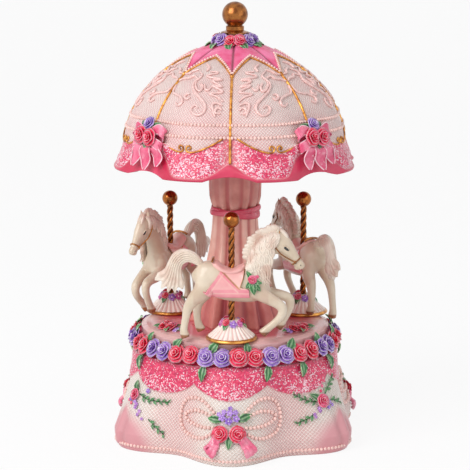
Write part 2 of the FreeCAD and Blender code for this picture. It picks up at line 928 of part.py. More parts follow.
near_hind_path = (
    (-14.0, -3.4, 29.0, 3.0, 5.6),
    (-15.0, -4.0, 23.6, 2.7, 4.6),
    (-18.8, -4.2, 19.2, 1.9, 2.6),
    (-21.2, -4.2, 14.0, 1.5, 1.6),
    (-23.6, -4.2, 6.4, 1.4, 1.5),
    (-23.4, -4.2, 3.6, 1.6, 1.8),
    (-22.2, -4.2, 1.2, 1.8, 2.1),
)
far_hind_path = (
    (-13.0, 3.4, 28.0, 3.0, 5.4),
    (-13.0, 4.0, 22.0, 2.6, 4.2),
    (-15.2, 4.2, 17.6, 1.9, 2.5),
    (-16.4, 4.2, 13.0, 1.5, 1.6),
    (-16.6, 4.2, 7.4, 1.4, 1.5),
    (-16.2, 4.2, 4.8, 1.6, 1.8),
    (-15.0, 4.2, 2.6, 1.8, 2.1),
)
ear_height = 4.2
ear_radius = 1.0
ear_place = (20.6, 1.5, 48.2)


def make_horse():
    across = Vector(0, 1, 0)
    paths = (
        neck_path,
        head_path,
        mane_path,
        tail_path,
        saddle_path,
        near_fore_path,
        far_fore_path,
        near_hind_path,
        far_hind_path,
    )
    solids = [limb(path, across) for path in paths]
    for hand in (-1.0, 1.0):
        place = Vector(ear_place[0], ear_place[1] * hand, ear_place[2])
        solids.append(Part.makeCone(ear_radius, 0.25, ear_height, place, Vector(0.1, 0.12 * hand, 1)))
    body = limb(trunk_path, across).fuse(solids)
    body = body.cut(cylinder(pole_radius + running_gap, 0, pole_ball_height))
    body.rotate(Vector(0, 0, 0), axis_up, 90)
    body.translate(Vector(horse_circle, 0, deck_top))
    return body


# Musical movement


def gear_outline(teeth, phase):
    # Straight-flanked teeth, thin enough to run free in mesh; phase is the angle of one tooth.
    pitch_radius = gear_module * teeth / 2
    root = pitch_radius - tooth_ded
    tip = pitch_radius + tooth_add
    step = 360.0 / teeth
    points = []
    for i in range(teeth):
        middle = phase + step * i
        half_root = step * (tooth_share * 0.5 + 0.07)
        half_tip = step * tip_share * 0.5
        points.append(on_circle(root, middle - half_root))
        points.append(on_circle(tip, middle - half_tip))
        points.append(on_circle(tip, middle + half_tip))
        points.append(on_circle(root, middle + half_root))
    return points


def gear_x(teeth, phase, start, face, y):
    # A spur gear on an arbor along X, at the drum's level; phase is measured from +Y towards +Z.
    wheel = prism(gear_outline(teeth, phase), face)
    wheel = wheel.cut(cylinder(train_arbor_radius + seat_gap, -1, face + 1))
    turn = Rotation(Vector(0, 1, 0), Vector(0, 0, 1), Vector(1, 0, 0), "ZXY")
    return placed(wheel, Vector(start, y, drum_axis), turn)


def make_bedplate():
    plate = block(-plate_left, cavity_radius, -plate_front, plate_back, cover_top, plate_top)
    plate = plate.common(cylinder(cavity_radius - plate_edge, cover_top, plate_top))
    parts = []
    half = upright_width / 2
    uprights = (
        (inner_upright_x, -half, half),
        (outer_upright_x, -half, train_y + half),
        (train_upright_x, train_y - half + 0.5, train_y + half),
    )
    for x, y0, y1 in uprights:
        parts.append(block(x, x + upright_thickness, y0, y1, cover_top, drum_axis + half))
    ledge_back = comb_front - comb_tooth - comb_land
    ledge_front = comb_front - comb_tooth - 0.4
    ledge_top = drum_axis - comb_thickness / 2
    parts.append(block(drum_x, drum_x + drum_length, ledge_back, ledge_front, cover_top, ledge_top))
    body = fused(plate, parts)
    reach = cylinder_gear_radius + tooth_add + 0.7
    holes = [
        cylinder(arbor_radius + running_gap, cover_top - 1, plate_top + 1),
        block(drum_gear_x - 0.5, drum_gear_x + gear_face + 0.5, -reach, reach, cover_top - 1, plate_top + 1),
        rod_x(train_arbor_radius + running_gap, 0, cavity_radius, 0, drum_axis),
        rod_x(train_arbor_radius + running_gap, 0, cavity_radius, train_y, drum_axis),
        cylinder(train_arbor_radius + running_gap, cover_top + 1, plate_top + 1, worm_x, worm_y),
    ]
    for x, y in movement_screw_circle:
        holes.append(cylinder(screw_radius + seat_gap, cover_top - 1, plate_top + 1, x, y))
    for x, y in comb_screw_places():
        holes.append(cylinder(comb_screw_radius + seat_gap, plate_top + 1, drum_axis, x, y))
    return body.cut(holes)


def comb_screw_places():
    y = comb_front - comb_tooth - comb_land * 0.55
    return [(drum_x + drum_length * share, y) for share in (0.22, 0.78)]


def make_comb():
    bottom = drum_axis - comb_thickness / 2
    top = drum_axis + comb_thickness / 2
    back = comb_front - comb_tooth - comb_land
    plate = block(drum_x, drum_x + drum_length, back, comb_front, bottom, top)
    end = drum_x + drum_length
    spans = [(drum_x - 1, drum_x + note_pitch * 0.5), (end - note_pitch * 0.5, end + 1)]
    for i in range(note_count + 1):
        x = drum_x + note_pitch * (i + 0.5)
        spans.append((x - comb_slit / 2, x + comb_slit / 2))
    slits = [block(x0, x1, comb_front - comb_tooth, comb_front + 1, bottom - 1, top + 1) for x0, x1 in spans]
    for x, y in comb_screw_places():
        slits.append(cylinder(comb_screw_radius + running_gap, bottom - 1, top + 1, x, y))
    return plate.cut(slits)


def make_comb_screws():
    solids = []
    top = drum_axis + comb_thickness / 2
    for x, y in comb_screw_places():
        head = cylinder(comb_screw_radius * 1.8, top, top + 1.2, x, y)
        slot = block(x - 3, x + 3, y - 0.25, y + 0.25, top + 0.7, top + 2)
        shank = cylinder(comb_screw_radius, plate_top + 2, top, x, y)
        solids.append(head.fuse(shank).cut(slot))
    return solids


def make_great_wheel():
    outer = crown_pitch_radius + pinion_face / 2
    inner = crown_pitch_radius - pinion_face / 2
    disc = cylinder(outer, wheel_bottom, wheel_top)
    step = 360.0 / crown_teeth
    teeth = []
    half_root = tooth_pitch * (tooth_share * 0.5 + 0.06)
    half_tip = tooth_pitch * tip_share * 0.5
    outline = [
        Vector(inner, -half_root, wheel_top - 0.05),
        Vector(inner, half_root, wheel_top - 0.05),
        Vector(inner, half_tip, crown_tooth_top),
        Vector(inner, -half_tip, crown_tooth_top),
    ]
    tooth = prism(outline, outer - inner - 0.15, Vector(1, 0, 0))
    for i in range(crown_teeth):
        teeth.append(turned_copy(tooth, step * (i + 0.5)))
    return disc.fuse(teeth).cut(cylinder(arbor_radius + running_gap, wheel_bottom - 1, wheel_top + 1))


def make_spring_barrel():
    cup = cylinder(barrel_radius, wheel_top, barrel_top)
    cup = cup.cut(cylinder(barrel_radius - barrel_wall, wheel_top - 1, barrel_top - barrel_wall))
    cup = cup.fuse(cylinder(barrel_boss_radius, barrel_top - barrel_wall, barrel_top + barrel_boss))
    return cup.cut(cylinder(arbor_radius + seat_gap, barrel_top, barrel_top + barrel_boss + 1))


def make_mainspring():
    # A flat strip wound in half circles about two centres, so that its thickness stays even.
    inner = arbor_radius + 0.6
    outer = barrel_radius - barrel_wall - 0.3 - spring_strip
    step = (outer - inner) / (2 * spring_turns)
    strip = []
    for offset in (0.0, spring_strip):
        edges = []
        radius = inner + offset
        centre = 0.0
        for i in range(2 * spring_turns):
            hand = 1 if i % 2 == 0 else -1
            start = Vector(centre + hand * radius, 0, 0)
            middle = Vector(centre, hand * radius, 0)
            end = Vector(centre - hand * radius, 0, 0)
            edges.append(Part.Arc(start, middle, end).toShape())
            centre = centre + hand * step
            radius = radius + step
        strip.append(edges)
    first, second = strip
    start_cap = Part.makeLine(first[0].Vertexes[0].Point, second[0].Vertexes[0].Point)
    end_cap = Part.makeLine(first[-1].Vertexes[1].Point, second[-1].Vertexes[1].Point)
    wire = Part.Wire(Part.__sortEdges__([*first, *second, start_cap, end_cap]))
    spring = Part.Face(wire).extrude(axis_up * spring_height)
    spring.translate(Vector(0, 0, wheel_top))
    return spring


def make_winding_arbor():
    bottom = key_floor_gap + key_wing_height * 0.35
    arbor = cylinder(arbor_radius, bottom, barrel_top - barrel_wall - 0.3)
    return arbor.fuse(cylinder(arbor_radius + arbor_collar, cover_bottom - 0.4, cover_top))


def make_winding_key():
    bottom = key_floor_gap
    top = cover_bottom - 0.4
    hub = cylinder(key_hub_radius, bottom + key_wing_height * 0.3, top)
    wings = []
    t = key_wing_thickness / 2
    middle = bottom + key_wing_height / 2
    for hand in (-1.0, 1.0):
        x = hand * (key_wing_length - key_wing_height / 2)
        wing = Part.makeCylinder(key_wing_height / 2, 2 * t, Vector(x, -t, middle), Vector(0, 1, 0))
        eye = Part.makeCylinder(key_wing_height * 0.18, 4 * t, Vector(x, -2 * t, middle), Vector(0, 1, 0))
        half_web = key_wing_height * 0.3
        web = block(min(0, x), max(0, x), -t, t, middle - half_web, middle + half_web)
        wings.append(wing.fuse(web).cut(eye))
    key = fused(hub, wings)
    return key.cut(cylinder(arbor_radius + seat_gap, bottom + key_wing_height * 0.35, top + 1))


def make_drive_shaft():
    return cylinder(arbor_radius, barrel_top + 0.1, deck_bottom + hub_height)


def make_bearing_bush():
    top = base_height + deck_gap - washer_thickness
    bush = cylinder(bush_radius, ceiling_bottom - 1.0, top)
    bush = bush.fuse(cylinder(bush_flange_radius, top, top + bush_flange * 0.5))
    return bush.cut(cylinder(arbor_radius + running_gap, ceiling_bottom - 2, base_height + 1))


def make_drum():
    start = drum_x
    end = drum_x + drum_length
    shell = rod_x(drum_radius, start, end, 0, drum_axis)
    shell = shell.cut(rod_x(drum_radius - drum_wall, start + drum_wall, end - drum_wall, 0, drum_axis))
    shell = shell.cut(rod_x(train_arbor_radius + seat_gap, start - 1, end + 1, 0, drum_axis))
    pins = []
    for i in range(note_count):
        x = drum_x + note_pitch * (i + 1)
        for beat in range(4):
            angle = math.radians((i * 137.5 + beat * 90.0 + (i % 3) * 17.0) % 360)
            direction = Vector(0, math.cos(angle), math.sin(angle))
            foot = Vector(x, 0, drum_axis) + direction * (drum_radius - drum_wall * 0.6)
            pins.append(Part.makeCylinder(pin_radius, drum_wall * 0.6 + pin_height, foot, direction))
    return shell.fuse(pins)


def make_drum_arbor():
    start = pinion_x - pinion_face / 2 - 0.4
    return rod_x(train_arbor_radius, start, outer_upright_x + upright_thickness, 0, drum_axis)


def make_drum_pinion():
    # The tooth space points straight down at the crown wheel's tooth on the pinion's own line.
    phase = -90.0
    return gear_x(pinion_teeth, phase, pinion_x - pinion_face / 2, pinion_face, 0)


def make_drum_gear():
    return gear_x(cylinder_gear_teeth, 0.0, drum_gear_x, gear_face, 0)


def make_train_arbor():
    return rod_x(train_arbor_radius, train_upright_x, outer_upright_x + upright_thickness, train_y, drum_axis)


def make_train_pinion():
    phase = 180.0 + 180.0 / train_pinion_teeth
    return gear_x(train_pinion_teeth, phase, drum_gear_x, gear_face, train_y)


def make_worm_wheel():
    return gear_x(worm_wheel_teeth, 0.0, worm_x - gear_face / 2, gear_face, train_y)


def make_governor_worm():
    core = worm_radius - tooth_ded
    tip = worm_radius + tooth_add
    bottom = drum_axis - worm_length / 2
    turns = worm_length / tooth_pitch
    helix = Part.makeHelix(tooth_pitch, turns * tooth_pitch, core)
    half_root = tooth_pitch * (tooth_share * 0.5 + 0.06)
    half_tip = tooth_pitch * tip_share * 0.5
    profile = Part.makePolygon(
        [
            Vector(core - 0.15, 0, -half_root),
            Vector(tip, 0, -half_tip),
            Vector(tip, 0, half_tip),
            Vector(core - 0.15, 0, half_root),
            Vector(core - 0.15, 0, -half_root),
        ]
    )
    thread = Part.Wire(helix).makePipeShell([profile], True, True)
    thread.translate(Vector(0, 0, bottom))
    trim = cylinder(tip + 1, bottom + 0.4, bottom + worm_length - 0.4)
    thread = thread.common(trim)
    shaft = cylinder(core, bottom, bottom + worm_length)
    spindle = cylinder(train_arbor_radius, cover_top + 1.1, bracket_bottom + bracket_thickness - 0.6)
    worm = shaft.fuse([thread, spindle])
    # Turned so that a thread space faces the wheel's tooth at the height of its axis.
    worm.rotate(Vector(0, 0, 0), axis_up, 270.0 - 360.0 * (0.5 + worm_length / (2 * tooth_pitch)))
    worm.translate(Vector(worm_x, worm_y, 0))
    return worm


def make_governor_fly():
    fly_top = fly_bottom + fly_height
    vane = block(-fly_radius, fly_radius, -fly_thickness / 2, fly_thickness / 2, fly_bottom, fly_top)
    sleeve = cylinder(train_arbor_radius + fly_sleeve, fly_bottom, fly_top)
    fly = vane.fuse(sleeve).cut(cylinder(train_arbor_radius + seat_gap, fly_bottom - 1, fly_top + 1))
    fly.translate(Vector(worm_x, worm_y, 0))
    return fly


def make_governor_bracket():
    inner = worm_y + fly_radius + bracket_clear
    x0 = worm_x - bracket_width / 2
    x1 = worm_x + bracket_width / 2
    top = bracket_bottom + bracket_thickness
    post = block(x0, x1, inner, inner + bracket_thickness, plate_top, top)
    arm = block(x0, x1, worm_y - bracket_nose, inner, bracket_bottom, top)
    hole = cylinder(train_arbor_radius + running_gap, bracket_bottom - 1, top - 0.5, worm_x, worm_y)
    return post.fuse(arm).removeSplitter().cut(hole)


# Every node of the part, each with its one solid or its group of like solids


def all_nodes():
    nodes = {
        "base_shell": make_base_shell(),
        "rose_garland": make_rose_garland(),
        "base_bouquets": make_bouquets(),
        "bottom_cover": make_bottom_cover(),
        "cover_screws": make_cover_screws(),
        "movement_screws": make_movement_screws(),
        "movement_bedplate": make_bedplate(),
        "comb": make_comb(),
        "comb_screws": make_comb_screws(),
        "bearing_bush": make_bearing_bush(),
        "thrust_washer": make_thrust_washer(),
        "governor_bracket": make_governor_bracket(),
        "winding_arbor": make_winding_arbor(),
        "winding_key": make_winding_key(),
        "great_wheel": make_great_wheel(),
        "spring_barrel": make_spring_barrel(),
        "mainspring": make_mainspring(),
        "drive_shaft": make_drive_shaft(),
        "drive_hub": make_drive_hub(),
        "pinned_drum": make_drum(),
        "drum_arbor": make_drum_arbor(),
        "drum_pinion": make_drum_pinion(),
        "drum_gear": make_drum_gear(),
        "train_arbor": make_train_arbor(),
        "train_pinion": make_train_pinion(),
        "worm_wheel": make_worm_wheel(),
        "governor_worm": make_governor_worm(),
        "governor_fly": make_governor_fly(),
        "turntable_deck": make_turntable_deck(),
        "deck_flowers": make_deck_flowers(),
        "column": make_column(),
        "canopy": make_canopy(),
        "crown_roses": make_crown_roses(),
        "finial": make_finial(),
    }
    ride = {
        "pedestal": make_pedestal(),
        "horse_pole": make_pole(),
        "pole_ball": make_pole_ball(),
        "horse": make_horse(),
    }
    for name, shape in ride.items():
        for number, angle in enumerate(station_angles(horse_count), start=1):
            nodes[f"{name}_{number}"] = turned_copy(shape, angle)
    bow = make_canopy_bow()
    for number, angle in enumerate(station_angles(bow_count, 180.0 / bow_count), start=1):
        nodes[f"canopy_bow_{number}"] = turned_copy(bow, angle)
    return nodes


def main():
    os.makedirs("parts", exist_ok=True)
    for name, shape in all_nodes().items():
        group = Part.makeCompound(shape) if isinstance(shape, list) else shape
        group.exportStep(f"parts/{name}.step")


if __name__ == "__main__":
    main()
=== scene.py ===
import bpy
import math
import numpy as np
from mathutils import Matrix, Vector


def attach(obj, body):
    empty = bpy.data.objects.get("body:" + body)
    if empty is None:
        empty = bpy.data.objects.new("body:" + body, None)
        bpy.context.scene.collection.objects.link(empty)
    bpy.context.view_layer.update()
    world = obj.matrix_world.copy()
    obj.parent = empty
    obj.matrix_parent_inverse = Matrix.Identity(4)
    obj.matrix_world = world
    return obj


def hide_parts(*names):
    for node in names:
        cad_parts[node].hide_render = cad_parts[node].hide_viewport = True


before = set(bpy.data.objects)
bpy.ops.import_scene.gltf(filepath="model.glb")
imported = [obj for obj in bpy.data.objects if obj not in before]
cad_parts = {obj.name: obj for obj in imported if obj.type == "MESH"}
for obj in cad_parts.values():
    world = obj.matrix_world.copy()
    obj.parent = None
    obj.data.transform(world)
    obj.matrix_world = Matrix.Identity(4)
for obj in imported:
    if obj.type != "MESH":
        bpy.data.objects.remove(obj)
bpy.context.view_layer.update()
mm = 0.001
front = 270.0  # degrees from +X; the photograph looks at this side
deckZ = 54.0  # top of the turntable
poleCircle = 36.8  # radius of the circle on which the poles stand
upward = (0, 0, 1)
dice = np.random.default_rng(7)
print("frame loaded:", len(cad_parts), "CAD nodes")


# meshes are gathered in millimetres and turned into objects in metres

class Clay:
    def __init__(self):
        self.verts = []
        self.faces = []
        self.masks = {}
        self.count = 0

    def add(self, verts, faces, **masks):
        verts = np.asarray(verts, float).reshape(-1, 3)
        self.faces += [tuple(i + self.count for i in face) for face in faces]
        for key in {**self.masks, **masks}:
            column = self.masks.setdefault(key, [np.zeros(self.count)])
            value = np.asarray(masks.get(key, 0.0), float)
            column.append(np.broadcast_to(value.ravel() if value.ndim else value, len(verts)))
        self.verts.append(verts)
        self.count += len(verts)

    def points(self):
        return np.concatenate(self.verts)

    def mask(self, key):
        return np.concatenate(self.masks[key]) if key in self.masks else np.zeros(self.count)

    def build(self, name, material, body, node=None):
        mesh = bpy.data.meshes.new(name)
        mesh.from_pydata((self.points() * mm).tolist(), [], self.faces)
        for key in self.masks:
            layer = mesh.attributes.new(key, "FLOAT", "POINT")
            layer.data.foreach_set("value", self.mask(key).astype(np.float32))
        mesh.validate()
        mesh.polygons.foreach_set("use_smooth", [True] * len(mesh.polygons))
        mesh.materials.append(material)
        piece = bpy.data.objects.new(name, mesh)
        bpy.context.scene.collection.objects.link(piece)
        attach(piece, body)
        if node:
            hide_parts(node)
        print("built", name, len(mesh.vertices), "points")


def gridFaces(rows, cols, loopRows=False, loopCols=False):
    # four-sided faces between the points of a grid, which may close on itself either way
    faces = []
    for i in range(rows if loopRows else rows - 1):
        here, above = i * cols, (i + 1) % rows * cols
        for j in range(cols if loopCols else cols - 1):
            beside = (j + 1) % cols
            faces.append((here + j, here + beside, above + beside, above + j))
    return faces


def rodFaces(rows, sides):
    # the faces of a rod made of rings, with flat ends
    last = (rows - 1) * sides
    ends = [tuple(range(sides))[::-1], tuple(range(last, last + sides))]
    return gridFaces(rows, sides, False, True) + ends


def polar(radius, degrees, z):
    turn = np.radians(degrees)
    return np.stack(np.broadcast_arrays(radius * np.cos(turn), radius * np.sin(turn), z), -1)


def roundTurns(count):
    return np.arange(count) * 360 / count


def smooth(x, low=0.0, high=1.0):
    t = np.clip((x - low) / (high - low), 0, 1)
    return t * t * (3 - 2 * t)


def hump(x, wide, power=2):
    # 1 in the middle, falling away on both sides
    return np.exp(-(x / wide) ** power)


def unit(v):
    return v / np.maximum(np.linalg.norm(v, axis=-1, keepdims=True), 1e-9)


def runLengths(points):
    # the way along a path to each of its points
    return np.concatenate([[0], np.cumsum(np.linalg.norm(np.diff(points, axis=0), axis=1))])


def placesAt(path, known, wanted):
    # places on a path at wanted values of something that is known at its points
    return np.stack([np.interp(wanted, known, path[:, k]) for k in range(path.shape[1])], -1)


def along(points, count):
    # evenly spaced points on a smooth curve through a few given ones
    p = np.asarray(points, float)
    p = np.vstack([2 * p[0] - p[1], p, 2 * p[-1] - p[-2]])
    t = np.linspace(0, len(p) - 3 - 1e-9, 24 * len(p))
    i, f = t.astype(int), (t % 1)[:, None]
    a, b, c, d = p[i], p[i + 1], p[i + 2], p[i + 3]
    bend = (2 * a - 5 * b + 4 * c - d) * f**2 + (3 * b - a - 3 * c + d) * f**3
    dense = 0.5 * (2 * b + (c - a) * f + bend)
    run = runLengths(dense)
    return placesAt(dense, run, np.linspace(0, run[-1], count))


def evenly(points, step):
    # the same path with its points about one step apart
    run = runLengths(points)
    count = max(int(run[-1] / step), 2)
    return placesAt(points, run, np.linspace(0, run[-1], count + 1))


def tube(points, radius, sides=8, flatten=1.0, flatAxis=None, loop=False):
    # a round or flattened rod along a path, closed at its ends
    p = np.asarray(points, float)
    n = len(p)
    ahead = unit(np.roll(p, -1, 0) - np.roll(p, 1, 0)) if loop else unit(np.gradient(p, axis=0))
    if flatAxis is None:
        side = np.zeros_like(p)
        steep = abs(ahead[0][2]) >= 0.9
        side[0] = unit(np.cross(ahead[0], (1.0, 0, 0) if steep else upward))
        for k in range(1, n):
            side[k] = unit(side[k - 1] - ahead[k] * np.dot(side[k - 1], ahead[k]))
        lift = np.cross(side, ahead)
    else:
        lift = unit(np.broadcast_to(flatAxis, p.shape) - ahead * np.sum(ahead * flatAxis, -1, keepdims=True))
        side = np.cross(ahead, lift)
    wide = np.broadcast_to(np.asarray(radius, float), n)[:, None]
    high = wide * np.broadcast_to(np.asarray(flatten, float), n)[:, None]
    ring = np.linspace(0, 2 * np.pi, sides, endpoint=False)
    verts = np.stack([p + side * wide * math.cos(a) + lift * high * math.sin(a) for a in ring], 1)
    return verts.reshape(-1, 3), gridFaces(n, sides, True, True) if loop else rodFaces(n, sides)


def ball(rings, sides):
    # a ball with a radius of 1
    lat = np.linspace(-np.pi / 2, np.pi / 2, rings + 1)[1:-1]
    lon = np.linspace(0, 2 * np.pi, sides, endpoint=False)
    verts = [(math.cos(a) * math.cos(b), math.cos(a) * math.sin(b), math.sin(a)) for a in lat for b in lon]
    faces = gridFaces(rings - 1, sides, False, True)
    low, high, last = len(verts), len(verts) + 1, (rings - 2) * sides
    faces += [(low, (k + 1) % sides, k) for k in range(sides)]
    faces += [(high, last + k, last + (k + 1) % sides) for k in range(sides)]
    return np.array(verts + [(0, 0, -1), upward]), faces


def pearls(clay, places, radius):
    verts, faces = ball(6, 8)
    for place in places:
        clay.add(verts * radius + place, faces)


def ribbon(points, width, across, thick):
    # a flat strip along a path: across is the direction of its width, widths may vary
    wide = np.broadcast_to(np.asarray(width, float), len(points))
    return tube(points, thick / 2, 10, wide / thick, across)


def slab(outer, inner):
    # two grids of points, joined along their borders
    rows, cols = outer.shape[:2]
    n = rows * cols
    top = gridFaces(rows, cols)
    faces = top + [tuple(i + n for i in face[::-1]) for face in top]
    loop = list(range(cols)) + [i * cols + cols - 1 for i in range(1, rows)]
    loop += [(rows - 1) * cols + j for j in range(cols - 2, -1, -1)]
    loop += [i * cols for i in range(rows - 2, 0, -1)]
    faces += [(a, a + n, b + n, b) for a, b in zip(loop, loop[1:] + loop[:1])]
    return np.concatenate([outer.reshape(-1, 3), inner.reshape(-1, 3)]), faces


def bothSides(mask):
    # a mask for the two grids of a slab
    return np.tile(mask.ravel(), 2)


grainKeys = np.array([12.9898, 78.233, 37.719])  # any uneven numbers scatter the bumps
grainSpread = 43758.5453


def grain(points, size):
    # smooth random bumps between -1 and 1, about one bump per size
    q = np.asarray(points) / size
    low = np.floor(q)
    share = smooth(q - low)
    total = 0.0
    for corner in np.ndindex(2, 2, 2):
        key = np.sin((low + corner) @ grainKeys) * grainSpread
        weight = np.prod(np.where(np.array(corner) > 0, share, 1 - share), -1)
        total = total + (key - np.floor(key)) * weight
    return total * 2 - 1


def crumple(points, coarse, fine):
    # the crinkles of thin foil, in two sizes
    return grain(points, coarse) * 0.6 + grain(points + 40, fine) * 0.4


def onSurface(reach, degrees, z, lift=0.0):
    # points and outward normals on a form given by its radius at each height and angle
    degrees, z = np.broadcast_arrays(np.asarray(degrees, float), np.asarray(z, float))
    step = 0.05
    ahead, behind = degrees + step, degrees - step
    above, below = z + step, z - step
    around = polar(reach(z, ahead), ahead, z) - polar(reach(z, behind), behind, z)
    climb = polar(reach(above, degrees), degrees, above) - polar(reach(below, degrees), degrees, below)
    normal = unit(np.cross(around, climb))
    return polar(reach(z, degrees), degrees, z) + normal * np.asarray(lift)[..., None], normal


def gridNormals(points):
    # normals of a grid of points whose columns run round the axis
    around = np.roll(points, -1, 1) - np.roll(points, 1, 1)
    return unit(np.cross(around, np.gradient(points, axis=0)))


def padded(mask, rows, fill=0.0):
    # a mask over an outer surface, followed by the rows of its inside
    return np.concatenate([mask, np.full((rows, mask.shape[1]), fill)])


def posed(verts, place, out, up, size=1.0):
    # moves a form drawn with +Z outwards and +Y upwards to a place on a surface
    out = unit(np.asarray(out, float))
    right = unit(np.cross(np.asarray(up, float), out))
    basis = np.stack([right, np.cross(out, right), out], 1)
    return np.asarray(place) + (np.asarray(verts) * size) @ basis.T


def spun(verts, turn):
    # turned about +Z by an angle in radians
    c, s = math.cos(turn), math.sin(turn)
    return verts @ np.array([[c, -s, 0], [s, c, 0], [0, 0, 1]]).T


# shader expressions: a socket's value, which Python's operators turn into Math nodes

class Dye:
    def __init__(self, paint, socket):
        self.paint = paint
        self.socket = socket

    def math(self, kind, *others):
        return self.paint.node("ShaderNodeMath", {"operation": kind}, [self, *others])

    def __add__(self, other):
        return self.math("ADD", other)

    def __sub__(self, other):
        return self.math("SUBTRACT", other)

    def __rsub__(self, other):
        return self.paint.node("ShaderNodeMath", {"operation": "SUBTRACT"}, [other, self])

    def __mul__(self, other):
        return self.math("MULTIPLY", other)

    def __truediv__(self, other):
        return self.math("DIVIDE", other)

    def __pow__(self, other):
        return self.math("POWER", other)

    def __gt__(self, other):
        return self.math("GREATER_THAN", other)

    __radd__ = __add__
    __rmul__ = __mul__

    def step(self, low, high):
        settings = {"interpolation_type": "SMOOTHSTEP"}
        inputs = {"Value": self, "From Min": low, "From Max": high}
        return self.paint.node("ShaderNodeMapRange", settings, inputs)


class Paint:
    def __init__(self, owner, shader, fixed):
        # the owner is a material or a world; fixed values go on its shader's own sockets
        owner.use_nodes = True
        self.owner = owner
        self.nodes = owner.node_tree.nodes
        self.links = owner.node_tree.links
        self.shader = self.nodes[shader]
        for key, value in fixed.items():
            self.put(self.shader.inputs[key], value)

    def put(self, socket, value):
        if isinstance(value, Dye):
            self.links.new(value.socket, socket)
        elif hasattr(socket.default_value, "__len__") and not np.isscalar(value):
            socket.default_value = [*value, 1.0][:len(socket.default_value)]
        else:
            socket.default_value = value

    def node(self, kind, settings=None, inputs=(), output=0):
        made = self.nodes.new(kind)
        for key, value in (settings or {}).items():
            setattr(made, key, value)
        for key, value in (inputs.items() if isinstance(inputs, dict) else enumerate(inputs)):
            self.put(made.inputs[key], value)
        return Dye(self, made.outputs[output])

    def mask(self, name):
        return self.node("ShaderNodeAttribute", {"attribute_name": name}, output="Fac")

    def place(self):
        return self.node("ShaderNodeTexCoord", output="Object")

    def parts(self, vector):
        made = self.node("ShaderNodeSeparateXYZ", inputs=[vector]).socket.node
        return [Dye(self, socket) for socket in made.outputs]

    def noise(self, scale, detail=3.0, rough=0.5):
        inputs = {"Vector": self.place(), "Scale": scale, "Detail": detail, "Roughness": rough}
        return self.node("ShaderNodeTexNoise", inputs=inputs)

    def cloud(self, scale, detail=3.0, low=0.3, high=0.7):
        # soft patches between 0 and 1
        return self.noise(scale, detail).step(low, high)

    def chips(self, scale):
        # three random numbers for each of many small cells
        inputs = {"Vector": self.place(), "Scale": scale}
        return self.parts(self.node("ShaderNodeTexVoronoi", inputs=inputs, output="Color"))

    def mix(self, share, a, b):
        # sockets 6, 7 and 2 are the Mix node's two colours and its result
        return self.node("ShaderNodeMix", {"data_type": "RGBA"}, {0: share, 6: a, 7: b}, 2)

    def bump(self, height, depth):
        return self.node("ShaderNodeBump", inputs={"Strength": 1.0, "Distance": depth * mm, "Height": height})

    def wear(self, colour, rough=None, metal=None, normal=None):
        pairs = {"Base Color": colour, "Roughness": rough, "Metallic": metal, "Normal": normal}
        for key, value in pairs.items():
            if value is not None:
                self.put(self.shader.inputs[key], value)
        return self.owner

    def seen(self):
        # 1 where the camera, a mirror or glass looks, and 0 where the surface only lights the object
        kinds = ("Camera", "Glossy", "Transmission")
        rays = [self.node("ShaderNodeLightPath", output=f"Is {kind} Ray") for kind in kinds]
        return rays[0].math("MAXIMUM", rays[1]).math("MAXIMUM", rays[2])

    def blendIn(self, share, other, output):
        # mixes another shader over the first one
        mixed = self.node("ShaderNodeMixShader", inputs=[share, Dye(self, self.shader.outputs[0]), other])
        self.links.new(mixed.socket, self.nodes[output].inputs["Surface"])


def newPaint(name, rough=None, coat=None, coatRough=None, sheen=None):
    sockets = {"Roughness": rough, "Coat Weight": coat, "Coat Roughness": coatRough, "Sheen Weight": sheen}
    fixed = {key: value for key, value in sockets.items() if value is not None}
    return Paint(bpy.data.materials.new(name), "Principled BSDF", fixed)


def rgb(r, g, b):
    # screen values out of 255 to the linear values that shaders use
    return tuple(c / 255 / 12.92 if c <= 10 else ((c / 255 + 0.055) / 1.055) ** 2.4 for c in (r, g, b))


def dimmed(tint, share):
    return tuple(c * share for c in tint)


# finishes

gown = {
    "thread": rgb(255, 248, 241), "shadeAndTintThread": rgb(254, 228, 222), "shadeAndTintGround": rgb(220, 156, 158),
    "foilDeep": rgb(206, 30, 78), "foil": rgb(238, 72, 114), "foilShade": rgb(150, 56, 112),
    "fleck": rgb(252, 226, 234), "glintScale": 2100, "fewGlints": 0.92, "moreGlints": 0.5,
    "rollDeep": rgb(198, 32, 72), "roll": rgb(226, 74, 108), "paleRoll": rgb(216, 150, 156),
    "satinDeep": rgb(224, 50, 108), "satin": rgb(246, 122, 168), "crease": rgb(96, 28, 34),
    "strandEdge": (0.05, 0.24), "relief": 0.22,
}


